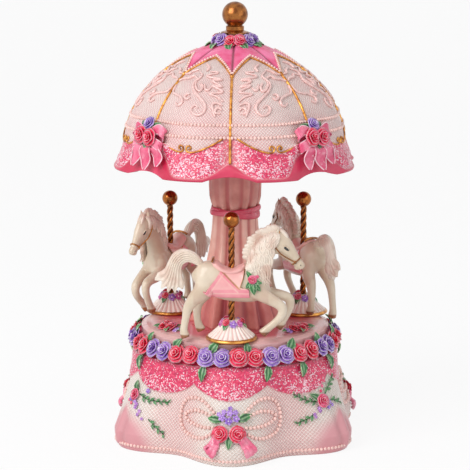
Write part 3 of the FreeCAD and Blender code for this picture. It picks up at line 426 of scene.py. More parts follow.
def gownResin(name, strands, rise, ground):
    # cast cloth: a fine diamond net, with masks for sparkling swags, rolled hems, creases and a satin collar;
    # painted glints on the swags, and painted shade in the creases and the hollows between lobes
    g = gown
    p = newPaint(name, 0.45, 0.2, 0.3)
    x, y = p.parts(p.place())[:2]
    turn = y.math("ARCTAN2", x) / (2 * math.pi)
    climb = p.mask("climb") / rise
    slack = p.noise(160, 2) * 0.5
    right = (turn * strands + climb + slack).math("PINGPONG", 0.5)
    left = (turn * strands - climb + slack).math("PINGPONG", 0.5)
    strand = 1 - right.math("MINIMUM", left).step(*g["strandEdge"])
    plain = p.mask("roll").math("MAXIMUM", p.mask("collar"))
    glitter = p.mask("glitter")
    cloud = p.cloud(45, 4, 0.3, 0.75)
    # painted shade: where this mask is high the net turns pinker and darker
    ground = p.mix(p.mask("blush"), ground, g["shadeAndTintGround"])
    thread = p.mix(p.mask("blush"), g["thread"], g["shadeAndTintThread"])
    net = p.mix(strand * 0.85 + cloud * 0.15, ground, thread)
    crinkle = p.noise(820, 3, 0.65)
    # painted glints: pale flecks on the foil, crowded where this mask is high
    chip, chance, shade = p.chips(g["glintScale"])
    crowd = p.mask("fleck") * p.cloud(190, 2, 0.25, 0.7) * g["moreGlints"]
    fleck = (chip > g["fewGlints"] - crowd) * (0.45 + chance * 0.55)
    foil = p.mix(crinkle.step(0.36, 0.66), g["foilDeep"], g["foil"])
    foil = p.mix((shade > 0.86) * 0.5, foil, g["foilShade"])
    foil = p.mix(fleck, foil, g["fleck"])
    colour = p.mix(glitter, net, foil)
    rolled = p.mix(p.mask("paleRoll"), p.mix(cloud, g["rollDeep"], g["roll"]), g["paleRoll"])
    colour = p.mix(p.mask("roll"), colour, rolled)
    satin = p.mix(p.cloud(120), g["satinDeep"], g["satin"])
    colour = p.mix(p.mask("collar"), colour, satin)
    # painted shade: dark maroon in creases and under the rim band
    colour = p.mix(p.mask("crease"), colour, g["crease"])
    height = strand * (1 - glitter) * (1 - plain) + crinkle * glitter * 1.6 + p.noise(500, 2) * plain * 0.3
    return p.wear(colour, 0.5 - glitter * 0.25 - plain * 0.12, normal=p.bump(height, g["relief"]))


def pearlPaint(name, tint):
    p = newPaint(name, 0.22, 0.5, 0.1, 0.15)
    cloud = p.cloud(700, 2)
    colour = p.mix(cloud, dimmed(tint, 0.82), tint)
    return p.wear(colour, 0.2 + cloud * 0.12, normal=p.bump(p.noise(1800, 2), 0.03))


grooveBrown = rgb(52, 24, 8)


def goldPaint(name, bright, dark, rough=0.28, wear=0.5):
    # gilding that is rubbed bright and browner in its hollows
    p = newPaint(name, coat=0.15)
    rub = p.noise(420, 4, 0.6).step(wear - 0.2, wear + 0.2)
    groove = p.mask("groove")
    colour = p.mix(groove, p.mix(rub, dark, bright), grooveBrown)
    return p.wear(colour, rough + 0.18 * (1 - rub) + groove * 0.25, 0.92, p.bump(p.noise(900, 3), 0.05))


petals = {
    "redDeep": rgb(226, 12, 54), "red": rgb(248, 52, 98), "redHeart": rgb(184, 0, 38),
    "redRim": rgb(255, 200, 210),
    "pinkDeep": rgb(228, 40, 96), "pink": rgb(246, 104, 148),
    "violetDeep": rgb(132, 86, 190), "violet": rgb(190, 146, 224), "violetHeart": rgb(96, 52, 148),
    "violetRim": rgb(246, 232, 250), "rimShare": 0.95,
}


def petalResin():
    c = petals
    p = newPaint("petal_resin", 0.35, 0.35, 0.18)
    rim = p.mask("rim").step(0.4, 0.95) * p.cloud(600, 2, 0.3, 0.55) * c["rimShare"]
    cloud = p.cloud(350)
    red, pink, violet = (p.mix(cloud, c[key + "Deep"], c[key]) for key in ("red", "pink", "violet"))
    colour = p.mix(p.mask("violet"), p.mix(p.mask("pink"), red, pink), violet)
    heart = p.mix(p.mask("violet"), c["redHeart"], c["violetHeart"])
    colour = p.mix(p.mask("heart"), colour, heart)
    pale = p.mix(p.mask("violet"), c["redRim"], c["violetRim"])
    return p.wear(p.mix(rim, colour, pale), 0.3 + cloud * 0.15, normal=p.bump(p.noise(1100, 3), 0.06))


foliage = {"deep": rgb(6, 66, 30), "green": rgb(30, 120, 54), "rim": rgb(186, 226, 172), "vein": 0.5}


def leafResin():
    c = foliage
    p = newPaint("leaf_resin", 0.35, 0.3, 0.2)
    cloud = p.cloud(400)
    green = p.mix(cloud, c["deep"], c["green"])
    rim = (p.mask("rim") * p.cloud(700, 2, 0.3, 0.6)).math("MAXIMUM", p.mask("vein") * c["vein"])
    return p.wear(p.mix(rim, green, c["rim"]), 0.32 + cloud * 0.2, normal=p.bump(p.noise(900, 3), 0.08))


def ribbonResin(name, deep, bright, sheen):
    p = newPaint(name, 0.32, 0.35, 0.15)
    cloud = p.cloud(170, 3, 0.32, 0.68)
    # painted sheen: pale streaks over the ribbon's colour
    sheenStreak = p.noise(330, 4, 0.7).step(0.58, 0.72)
    colour = p.mix(sheenStreak * 0.8, p.mix(cloud, deep, bright), sheen)
    return p.wear(colour, 0.28 + cloud * 0.2, normal=p.bump(p.noise(800, 3), 0.08))


# painted light and shade: the pale middle is where light falls, the darker top above the tie is the canopy's
# painted shadow, the deeper rose low down is painted shade, and the fold colours are painted shade in the
# fold hollows
drapery = {
    "lowDeep": rgb(212, 112, 108), "low": rgb(232, 150, 138), "middleDeep": rgb(236, 176, 160),
    "middle": rgb(248, 206, 190), "highDeep": rgb(200, 128, 118), "high": rgb(226, 160, 146),
    "lowFoldShade": rgb(160, 56, 70), "highFoldShade": rgb(190, 92, 92),
    "rise": (0.062, 0.088), "foldRise": (0.062, 0.09), "tie": (0.102, 0.116),  # heights in metres
}


def draperyResin():
    c = drapery
    p = newPaint("drapery_resin", 0.42, 0.2, 0.25)
    z = p.parts(p.place())[2]
    cloud = p.cloud(120, 4)
    low, middle, high = (p.mix(cloud, c[key + "Deep"], c[key]) for key in ("low", "middle", "high"))
    # painted shade low down and the canopy's painted shadow above the tie, lighter between
    colour = p.mix(z.step(*c["rise"]), low, middle)
    colour = p.mix(z.step(*c["tie"]), colour, high)
    # painted shade in the hollows of the folds
    fold = p.mix(z.step(*c["foldRise"]), c["lowFoldShade"], c["highFoldShade"])
    colour = p.mix(p.mask("fold") * 0.8, colour, fold)
    return p.wear(colour, 0.38 + cloud * 0.15, normal=p.bump(p.noise(420, 3), 0.12))


# painted shade: deeper rose near the column under the canopy, paler towards the rim where light falls
deckTop = {
    "innerDeep": rgb(206, 84, 104), "inner": rgb(226, 122, 136),
    "outerDeep": rgb(226, 170, 172), "outer": rgb(240, 198, 194),
    "edge": (0.034, 0.042), "wander": 0.002,  # metres from the axis
}


def deckResin():
    c = deckTop
    p = newPaint("deck_resin", 0.3, 0.5, 0.12)
    x, y = p.parts(p.place())[:2]
    reach = (x * x + y * y) ** 0.5
    cloud = p.cloud(70, 4)
    inner, outer = (p.mix(cloud, c[key + "Deep"], c[key]) for key in ("inner", "outer"))
    # painted shade towards the axis
    colour = p.mix((reach + cloud * c["wander"]).step(*c["edge"]), inner, outer)
    return p.wear(colour, 0.26 + cloud * 0.18, normal=p.bump(p.noise(380, 3), 0.1))


pleatTints = {
    "creamDeep": rgb(250, 232, 220), "cream": rgb(255, 246, 238), "fold": rgb(226, 150, 146),
    "giltDeep": rgb(160, 92, 36), "gilt": rgb(232, 168, 84),
}


def pleatResin():
    c = pleatTints
    p = newPaint("pleat_resin", 0.4, 0.25, 0.2)
    cloud = p.cloud(260)
    cream, gilt = (p.mix(cloud, c[key + "Deep"], c[key]) for key in ("cream", "gilt"))
    cream = p.mix(p.mask("fold") * 0.75, cream, c["fold"])
    gold = p.mask("gold")
    return p.wear(p.mix(gold, cream, gilt), 0.4 - gold * 0.12, gold * 0.85, p.bump(p.noise(700, 3), 0.06))


horseTints = {
    "coatDeep": rgb(208, 188, 162), "coat": rgb(226, 210, 188), "shade": rgb(200, 166, 146),
    "hairDeep": rgb(216, 186, 168), "hair": rgb(238, 224, 208),
    "saddleDeep": rgb(238, 176, 172), "saddle": rgb(248, 202, 192),
    "blanketDeep": rgb(232, 126, 144), "blanket": rgb(244, 160, 168),
    "hoofDeep": rgb(120, 66, 30), "hoof": rgb(176, 110, 58),
    "giltDeep": rgb(120, 66, 26), "gilt": rgb(206, 140, 66), "dark": rgb(22, 16, 16),
}


def horseResin():
    # pearly white coat with masks for mane, saddlery, gilt straps, hooves and eyes
    c = horseTints
    p = newPaint("horse_resin", 0.32, 0.45, 0.15, 0.1)
    cloud = p.cloud(110, 4)
    colour = p.mix(p.mask("shade"), p.mix(cloud, c["coatDeep"], c["coat"]), c["shade"])
    hair = p.mix(p.cloud(150, 3, 0.3, 0.6), c["hairDeep"], c["hair"])
    colour = p.mix(p.mask("mane"), colour, hair)
    for key in ("saddle", "blanket", "hoof", "gilt"):
        colour = p.mix(p.mask(key), colour, p.mix(cloud, c[key + "Deep"], c[key]))
    colour = p.mix(p.mask("dark"), colour, c["dark"])
    rough = 0.3 + cloud * 0.12 + p.mask("mane") * 0.1 - p.mask("dark") * 0.2
    return p.wear(colour, rough, p.mask("gilt") * 0.6, p.bump(p.noise(650, 3), 0.06))


def bareMetal(name, tint, rough):
    p = newPaint(name)
    smear = p.cloud(260, 4)
    colour = p.mix(smear, dimmed(tint, 0.7), tint)
    return p.wear(colour, rough + smear * 0.15, 1.0, p.bump(p.noise(1500, 2), 0.03))


def mouldedPlastic(name, tint):
    p = newPaint(name)
    cloud = p.cloud(200)
    colour = p.mix(cloud, dimmed(tint, 0.85), tint)
    return p.wear(colour, 0.45 + cloud * 0.15, normal=p.bump(p.noise(1700, 2), 0.05))


finish = {
    "skirt": gownResin("skirt_resin", 190, 1.72, rgb(222, 206, 194)),
    "dome": gownResin("dome_resin", 210, 1.55, rgb(230, 196, 190)),
    "pearl": pearlPaint("pearl_paint", rgb(255, 212, 203)),
    "gilt": goldPaint("gilt_line", rgb(236, 170, 84), rgb(150, 84, 36)),
    "antique": goldPaint("antique_gold", rgb(168, 106, 52), rgb(104, 56, 24), 0.2, 0.45),
    "polished": goldPaint("polished_gold", rgb(176, 106, 46), rgb(104, 50, 20), 0.1, 0.45),
    "petal": petalResin(),
    "leaf": leafResin(),
    "pinkRibbon": ribbonResin("pink_ribbon", rgb(220, 66, 112), rgb(244, 136, 164), rgb(255, 220, 226)),
    "paleRibbon": ribbonResin("pale_ribbon", rgb(230, 92, 132), rgb(250, 172, 192), rgb(255, 232, 236)),
    "tie": ribbonResin("tie_ribbon", rgb(206, 60, 90), rgb(232, 108, 128), rgb(246, 164, 172)),
    "scroll": pearlPaint("scroll_relief", rgb(250, 206, 200)),
    "ribbonEdge": pearlPaint("ribbon_edge", rgb(252, 200, 212)),
    "drapery": draperyResin(),
    "deck": deckResin(),
    "pleat": pleatResin(),
    "horse": horseResin(),
    "steel": bareMetal("bare_steel", rgb(196, 198, 202), 0.3),
    "brass": bareMetal("yellow_brass", rgb(214, 176, 96), 0.28),
    "casting": bareMetal("zinc_casting", rgb(150, 152, 156), 0.5),
    "whitePlastic": mouldedPlastic("white_plastic", rgb(236, 234, 228)),
    "coverPlastic": mouldedPlastic("cover_plastic", rgb(210, 150, 150)),
}
print("finishes made:", len(finish))


# camera, light and floor, in metres

studio = {
    "turn": 2.5, "reach": 1.0, "height": 0.2907, "tilt": 11.07, "lens": 166.2, "sensor": 36.0,
    "sky": 0.5, "skyTint": (0.97, 0.98, 1.0), "white": (1.0, 1.0, 1.0),
    "keyWatts": 7.5, "keySize": 0.75, "keyFrom": (-0.55, -0.65, 0.75),
    "fillWatts": 1.2, "fillSize": 0.8, "fillFrom": (0.8, -0.5, 0.35), "aim": (0, 0, 0.1),
    "floorSize": 3.0, "floorBack": 0.9, "floorBend": 0.5, "floorTop": 1.6, "floorGlow": 0.88,
    "paper": rgb(250, 250, 250), "paperShade": rgb(246, 246, 246),
}


def placeCamera(scene):
    s = studio
    turn = math.radians(s["turn"])
    lens = bpy.data.cameras.new("camera")
    lens.lens = s["lens"]
    lens.sensor_width = s["sensor"]
    camera = bpy.data.objects.new("camera", lens)
    camera.location = (math.sin(turn) * s["reach"], -math.cos(turn) * s["reach"], s["height"])
    camera.rotation_euler = (math.radians(90 - s["tilt"]), 0, turn)
    scene.collection.objects.link(camera)
    scene.camera = camera


def placeLamp(scene, name):
    light = bpy.data.lights.new(name, "AREA")
    light.energy = studio[name + "Watts"]
    light.size = studio[name + "Size"]
    lamp = bpy.data.objects.new(name, light)
    lamp.location = studio[name + "From"]
    lamp.rotation_euler = (Vector(studio["aim"]) - lamp.location).to_track_quat("-Z", "Y").to_euler()
    scene.collection.objects.link(lamp)


def setStudio():
    scene = bpy.context.scene
    scene.view_settings.view_transform = "Standard"
    placeCamera(scene)
    placeLamp(scene, "key")
    placeLamp(scene, "fill")
    scene.world = bpy.data.worlds.new("studio")
    p = Paint(scene.world, "Background", {"Color": studio["skyTint"], "Strength": studio["sky"]})
    white = p.node("ShaderNodeBackground", inputs={"Color": studio["white"], "Strength": 1.0})
    p.blendIn(p.seen(), white, "World Output")
    print("studio set")


def layFloor():
    # a sheet that lies flat and sweeps up far behind the object
    s = studio
    half, back, bend = s["floorSize"] / 2, s["floorBack"], s["floorBend"]
    sweep = np.linspace(0.2, 1.57, 8)
    rise = [(-half, 0.0), (back, 0.0)]
    rise += [(back + bend * math.sin(a), bend - bend * math.cos(a)) for a in sweep]
    rise += [(back + bend, s["floorTop"])]
    mesh = bpy.data.meshes.new("floor")
    mesh.from_pydata([(x, y, z) for y, z in rise for x in (-half, half)], [], gridFaces(len(rise), 2))
    mesh.polygons.foreach_set("use_smooth", [True] * len(mesh.polygons))
    floor = bpy.data.objects.new("floor", mesh)
    bpy.context.scene.collection.objects.link(floor)
    p = newPaint("floor_paper", 0.85)
    mesh.materials.append(p.wear(p.mix(p.noise(30, 2) * 0.02, s["paper"], s["paperShade"])))
    glow = p.node("ShaderNodeEmission", inputs={"Color": s["white"], "Strength": 1.0})
    p.blendIn(p.seen() * s["floorGlow"], glow, "Material Output")
    print("floor laid")


setStudio()
layFloor()


# base skirt

skirt = {
    "foot": 54.3, "footLobe": 5.3, "lip": 56.4, "lipLobe": 5.0, "lipZ": 8.0, "lipSwell": 0.6,
    "waist": 47.3, "waistZ": 43.0, "flare": 1.2, "lobeFade": 0.85, "lobes": 6,
    "band": 47.25, "bandLow": 43.2, "bandHigh": 46.1, "rim": 44.9, "rimZ": 48.5,
    "top": 50.0, "cavity": 44.0, "ceiling": 46.0, "hub": 8.2, "columns": 720, "lowRows": 17, "highRows": 74,
    "swags": 9, "swagCentre": 54.2, "swagArc": 25.7, "swagRelief": 0.7, "swagBulge": 0.5,
    "crinkle": 0.28, "crinkleSizes": (1.7, 0.9), "glintWide": 13,
    "corners": 3, "cornerReach": 58, "satinWide": 20, "satinHigh": 16, "satinZ": 3,
    "foldWide": 2.1, "foldHigh": 1.0, "foldTop": 23.0, "foldFade": 9, "besideFold": 3.6, "besideWide": 1.5,
    "besideDeep": 0.55, "shadeLow": 40.5, "shadeHigh": 42.5,
}


def skirtReach(z, degrees):
    # radius of the lobed skirt: a flared wall above a lip that turns in towards the foot
    s = skirt
    low = np.clip(z / s["lipZ"], 0, 1)
    high = np.clip((z - s["lipZ"]) / (s["waistZ"] - s["lipZ"]), 0, 1)
    below = s["foot"] + (s["lip"] - s["foot"]) * low + s["lipSwell"] * np.sin(np.pi * low)
    above = s["waist"] + (s["lip"] - s["waist"]) * (1 - high) ** s["flare"]
    lowLobe = s["footLobe"] + (s["lipLobe"] - s["footLobe"]) * low
    highLobe = s["lipLobe"] * (1 - high) ** s["lobeFade"]
    wave = np.cos(np.radians(s["lobes"] * (degrees - front)))
    return np.where(z < s["lipZ"], below + lowLobe * wave, above + highLobe * wave)


def onSkirt(degrees, z, lift=0.0):
    return onSurface(skirtReach, degrees, z, lift)


def skirtSpot(turn, across, z, lift=0.0):
    # a place given by its distance across from the line at this angle, seen square on
    across, z = np.broadcast_arrays(np.asarray(across, float), np.asarray(z, float))
    degrees = np.full(across.shape, float(turn))
    for _ in range(4):
        degrees = turn + np.degrees(np.arcsin(across / skirtReach(z, degrees)))
    return onSkirt(degrees, z, lift)


def swagEdge(degrees, radius):
    # height of the lower edge of the swags, and degrees from the middle of the nearest one
    pitch = 360 / skirt["swags"]
    off = (degrees - front + pitch / 2) % pitch - pitch / 2
    across = radius * np.sin(np.radians(off))
    return skirt["swagCentre"] - np.sqrt(np.maximum(skirt["swagArc"] ** 2 - across**2, 0)), off


def makeBaseShell():
    s = skirt
    degrees = roundTurns(s["columns"])
    lowRows = np.linspace(0, s["lipZ"], s["lowRows"])
    heights = np.concatenate([lowRows, np.linspace(s["lipZ"], s["waistZ"], s["highRows"])[1:]])
    z, turn = np.meshgrid(heights, degrees, indexing="ij")
    points = polar(skirtReach(z, turn), turn, z)
    normals = gridNormals(points)
    edge, off = swagEdge(turn, np.hypot(points[..., 0], points[..., 1]))
    swag = smooth(z - edge, -0.25, 0.35)
    pitch = 360 / s["corners"]
    across = np.radians((turn - front) % pitch - pitch / 2) * s["cornerReach"]  # from the nearest corner
    upright = smooth(z, 0.5, 3) * (1 - smooth(z, s["foldTop"] - s["foldFade"], s["foldTop"]))
    fold = hump(across, s["foldWide"]) * upright
    beside = hump(np.abs(across) - s["besideFold"], s["besideWide"]) * upright
    satin = smooth(1 - np.hypot(across / s["satinWide"], (z - s["satinZ"]) / s["satinHigh"]), -0.1, 0.4)
    bulge = s["swagBulge"] * np.clip((z - edge) / 4, 0, 1)
    relief = swag * (s["swagRelief"] + bulge + crumple(points, *s["crinkleSizes"]) * s["crinkle"])
    relief = relief + s["foldHigh"] * fold - s["besideDeep"] * beside
    points = points + normals * relief[..., None]
    rim = [(s["band"], s["bandLow"]), (s["band"], s["bandHigh"]), (s["rim"], s["rimZ"]), (s["rim"], s["top"])]
    inner = [(s["hub"], s["top"]), (s["hub"], s["ceiling"]), (s["cavity"], s["ceiling"]), (s["cavity"], 0.0)]
    rings = np.stack([polar(r, degrees, h) for r, h in rim + inner])
    between = -np.cos(np.radians(s["lobes"] * (turn - front)))  # 1 in the hollows between lobes
    masks = {
        "climb": z, "glitter": swag, "paleRoll": np.ones_like(z),
        # painted shade: pinker in the hollows between the lobes and towards the foot
        "blush": 0.05 + 0.7 * smooth(between, -0.7, 0.9) + 0.1 * smooth(s["lipZ"] - z, 0, s["lipZ"]),
        # painted shade under the rim band and in the hollows beside the corner folds
        "crease": 0.3 * smooth(z, s["shadeLow"], s["shadeHigh"]) + 0.12 * beside,
        # painted glints, crowded low in the middle of each swag
        "fleck": 0.1 + 0.9 * smooth(edge + 10 - z, 0, 8) * hump(off, s["glintWide"]),
    }
    masks = {key: padded(mask, len(rings)) for key, mask in masks.items()}
    masks["roll"] = padded(padded(np.clip(fold * 1.6 + satin, 0, 1), len(rim), 1.0), len(inner))
    clay = Clay()
    faces = gridFaces(len(heights) + len(rings), s["columns"], True, True)
    clay.add(np.concatenate([points, rings]), faces, **masks)
    clay.build("base_skirt", finish["skirt"], "base", "base_shell")


footPearls = {"count": 206, "z": 2.7, "radius": 0.84, "sink": 0.05}


def makeFootPearls():
    q = footPearls
    clay = Clay()
    degrees = np.arange(3601) / 10
    run = runLengths(onSkirt(degrees, q["z"])[0])
    even = np.interp(np.arange(q["count"]) * run[-1] / q["count"], run, degrees)
    pearls(clay, onSkirt(even, q["z"], -q["sink"])[0], q["radius"])
    clay.build("foot_pearls", finish["pearl"], "base")


makeBaseShell()
makeFootPearls()


# canopy

dome = {
    "hemZ": 129.2, "flare": 9.6, "flarePower": 1.4, "hem": 56.0, "hemLobe": 1.3,
    "radius": 52.0, "height": 48.5, "lobe": 0.9, "power": 0.7, "wall": 3.2,
    "notch": 2.2, "notchArc": 34.0, "panels": 8, "bows": 4,
    "collarArch": 20.3, "collarPoint": 32.0, "collarRelief": 0.6, "collarLow": 160,
    "swagLow": 141.8, "swagHigh": 148.0, "swagShare": 0.9, "swagPower": 1.5,
    "boss": 13.5, "bossZ": 167.0, "spigot": 6.0, "spigotZ": 184.5, "columns": 720,
    "topSlope": 14, "domeRows": 120, "flareRows": 26, "insideRows": 9, "insideRadius": 44, "climbColumn": 15,
    "beltZ": 151.05, "beltHigh": 2.3, "ribLow": 150, "crinkle": 0.28, "crinkleSizes": (1.6, 0.85),
    "rollHigh": 1.5, "rollAtRib": 4.2, "rollAtBow": 8.5, "puff": 1.2,
}
dome["baseZ"] = dome["hemZ"] + dome["flare"]
dome["half"] = 180 / dome["panels"]  # degrees from a rib to the middle of a panel


def domeReach(z, degrees):
    d = dome
    rise = np.clip((z - d["baseZ"]) / d["height"], 0, 0.9999)
    share = (1 - rise**2) ** d["power"]
    low = np.clip((z - d["hemZ"]) / d["flare"], 0, 1)
    flare = (d["hem"] - d["radius"]) * (1 - low) ** d["flarePower"]
    lobe = np.where(z < d["baseZ"], d["lobe"] + (d["hemLobe"] - d["lobe"]) * (1 - low), d["lobe"] * share)
    return d["radius"] * share + flare - lobe * np.cos(np.radians(d["panels"] * (degrees - front)))


def domeHeight(radius):
    share = np.clip(radius / dome["radius"], 0, 1)
    return dome["baseZ"] + dome["height"] * np.sqrt(np.maximum(1 - share ** (1 / dome["power"]), 0))


def onDome(degrees, z, lift=0.0):
    return onSurface(domeReach, degrees, z, lift)


def onPanel(turn, line, lift, measured):
    # a line on a panel: distance across from its middle and height; measured is the angle whose radius counts
    reach = domeReach(line[:, 1], np.full(len(line), measured))
    return onDome(turn + np.degrees(line[:, 0] / reach), line[:, 1], lift)[0]


def fromRib(degrees):
    half = dome["half"]
    return (np.asarray(degrees) - front + half) % (2 * half) - half


def fromPanel(degrees):
    half = dome["half"]
    return (np.asarray(degrees) - front) % (2 * half) - half


def fromBow(degrees):
    spacing = 360 / dome["bows"]
    return (np.asarray(degrees) - front) % spacing - spacing / 2


def collarEdge(degrees):
    # plan radius of the collar: straight runs between points on the ribs and dips in the panels
    arch, point, half = dome["collarArch"], dome["collarPoint"], math.radians(dome["half"])
    tipX, tipY = point * math.cos(half), point * math.sin(half)
    turn = np.abs(np.radians(fromPanel(degrees)))
    return arch * tipY / (tipY * np.cos(turn) - (tipX - arch) * np.sin(turn))


def hemLine(degrees):
    # height of the hem, which is notched up at each rib
    x = dome["hem"] * np.sin(np.radians(fromRib(degrees)))
    rise = np.sqrt(np.maximum(dome["notchArc"] ** 2 - x**2, 0)) - (dome["notchArc"] - dome["notch"])
    return dome["hemZ"] + np.maximum(rise, 0)


def swagLine(degrees):
    # height of the upper edge of the sparkling swags
    share = np.abs(fromPanel(degrees)) / (dome["swagShare"] * dome["half"])
    return dome["swagLow"] + (dome["swagHigh"] - dome["swagLow"]) * share ** dome["swagPower"]


def domeLining(degrees):
    # rings of points from the hem up the inside of the canopy to its spigot
    d = dome
    rings = [(d["hem"] - d["hemLobe"] - d["wall"], hemLine(degrees) + 0.2)]
    rings += [(d["radius"] - d["lobe"] - d["wall"], d["baseZ"])]
    for r in np.linspace(d["insideRadius"], d["boss"], d["insideRows"]):
        rings.append((r, domeHeight(r + d["wall"]) - d["wall"] * 0.7))
    rings += [(d["boss"], d["bossZ"]), (d["spigot"], d["bossZ"]), (d["spigot"], d["spigotZ"])]
    return np.stack([polar(r, degrees, h) for r, h in rings])


def makeCanopy():
    d = dome
    degrees = roundTurns(d["columns"])
    sweep = np.radians(np.linspace(d["topSlope"], 90, d["domeRows"]))
    flareRows = d["baseZ"] - d["flare"] * np.linspace(0, 1, d["flareRows"])[1:]
    heights = np.concatenate([d["baseZ"] + d["height"] * np.cos(sweep), flareRows])
    z, turn = np.meshgrid(heights, degrees, indexing="ij")
    low = np.clip((d["baseZ"] - z) / d["flare"], 0, 1)
    z = np.where(z < d["baseZ"], d["baseZ"] - low * (d["baseZ"] - hemLine(turn)), z)
    points = polar(domeReach(z, turn), turn, z)
    normals = -gridNormals(points)
    radius = np.hypot(points[..., 0], points[..., 1])
    collar = smooth(collarEdge(turn) - radius, -0.2, 0.4) * (z > d["collarLow"])
    rib = np.abs(np.radians(fromRib(turn)) * radius)
    crease, fold, nearRib = hump(rib, 0.55) * collar, hump(rib, 3.0) * collar, hump(rib, 5.0)
    hem = z - hemLine(turn)
    rollTop = d["rollHigh"] + d["rollAtRib"] * hump(fromRib(turn), 6)
    rollTop = rollTop + d["rollAtBow"] * hump(fromBow(turn), 15.5, 6)
    roll = 1 - smooth(hem, rollTop - 0.9, rollTop + 0.3)
    glitter = (1 - smooth(z - swagLine(turn), -0.2, 0.3)) * (1 - roll)
    puff = d["puff"] * hump(hem - rollTop - 4, 4.5) * (1 - nearRib) * (z < d["baseZ"] + 6)
    relief = d["collarRelief"] * collar - 0.5 * crease - 0.35 * fold
    relief = relief + d["crinkle"] * crumple(points, *d["crinkleSizes"]) * glitter + puff
    relief = relief + 0.15 * hump(z - d["beltZ"], d["beltHigh"], 4)
    relief = relief + 0.7 * roll * np.sin(np.pi * np.clip(hem / rollTop, 0, 1))
    relief = relief - 0.5 * nearRib * (z < d["ribLow"]) * (1 - roll)
    points = points + normals * relief[..., None]
    climb = runLengths(points[:, d["climbColumn"]])
    lining = domeLining(degrees)
    masks = {
        "climb": np.broadcast_to(climb[:, None], z.shape), "glitter": glitter * (1 - 0.3 * nearRib),
        # painted shade along the creases of the ribs in the collar
        "collar": collar, "crease": crease * 0.8,
        # painted glints, crowded just above the hem roll
        "fleck": 0.65 + 0.35 * smooth(-np.abs(hem - rollTop - 3.5), -5, -1),
    }
    masks = {key: padded(mask, len(lining)) for key, mask in masks.items()}
    # pinker in random patches, lower down on the dome and on the lining
    blush = 0.2 + 0.35 * smooth(grain(points, 9.0), -0.4, 0.6) + 0.3 * smooth(170 - z, 0, 22)
    masks["blush"] = padded(blush, len(lining), 1.0)
    masks["roll"] = padded(roll, len(lining), 1.0)
    faces = gridFaces(len(heights) + len(lining), d["columns"], True, True)
    clay = Clay()
    clay.add(np.concatenate([points, lining]), [face[::-1] for face in faces], **masks)
    clay.build("canopy_dome", finish["dome"], "turntable", "canopy")


trimLines = {
    "ribRadius": 0.62, "ribLow": 137.0, "ribSink": 0.9, "knob": 1.0, "lineRadius": 0.42, "lift": 0.35,
    "pearlRows": (153.7, 148.4), "pearlRadius": 0.76, "rowPearls": 186, "rowLift": 0.25,
    "edgePearls": 23, "edgeRadius": 0.62, "edgeInset": 1.15, "edgeSpan": 0.97,
    # half of a swag line: distance across the panel from its middle and height
    "curl": ((-16.9, 148.0), (-12.2, 145.2), (-7.2, 142.9), (-3.4, 141.9), (-1.5, 142.1), (-0.7, 143.1),
             (-1.0, 144.3), (-2.1, 144.7), (-2.9, 144.0), (-2.6, 143.2), (-1.9, 143.3)),
}


def makeRibs():
    t, half = trimLines, dome["half"]
    clay = Clay()
    knob, knobFaces = ball(6, 8)
    curl = along(t["curl"], 60)
    for k in range(dome["panels"]):
        turn = front + 2 * half * k
        radii = np.linspace(dome["collarPoint"] - 0.3, dome["radius"] - t["ribSink"], 40)
        heights = np.concatenate([domeHeight(radii), np.linspace(dome["baseZ"], t["ribLow"], 5)[1:]])
        path, out = onDome(np.full(len(heights), turn), heights, 0.1)
        clay.add(*tube(path, t["ribRadius"]))
        clay.add(posed(knob, path[0], out[0], upward, t["knob"]), knobFaces)
        for hand in (-1, 1):  # collar edging and swag line of half a panel
            turns = turn + half * (1 - hand * np.linspace(0, 1, 40))
            edge, _ = onDome(turns, domeHeight(collarEdge(turns)), t["lift"])
            clay.add(*tube(edge, t["lineRadius"], 6))
            swag = onPanel(turn + half, curl * (-hand, 1), t["lift"], front + half)
            clay.add(*tube(swag, t["lineRadius"], 6))
    clay.build("canopy_gilt_lines", finish["gilt"], "turntable")


def makeCanopyPearls():
    t = trimLines
    clay = Clay()
    rowTurns = front + (np.arange(t["rowPearls"]) + 0.5) * 360 / t["rowPearls"]
    for z in t["pearlRows"]:
        pearls(clay, onDome(rowTurns, z, t["rowLift"])[0], t["pearlRadius"])
    span = np.linspace(-t["edgeSpan"], t["edgeSpan"], 400)
    for k in range(dome["panels"]):
        turns = front + dome["half"] * (2 * k + 1 + span)
        path, _ = onDome(turns, domeHeight(collarEdge(turns) - t["edgeInset"]), dome["collarRelief"] + 0.1)
        run = runLengths(path)
        pearls(clay, placesAt(path, run, np.linspace(0, run[-1], t["edgePearls"])), t["edgeRadius"])
    clay.build("canopy_pearls", finish["pearl"], "turntable")


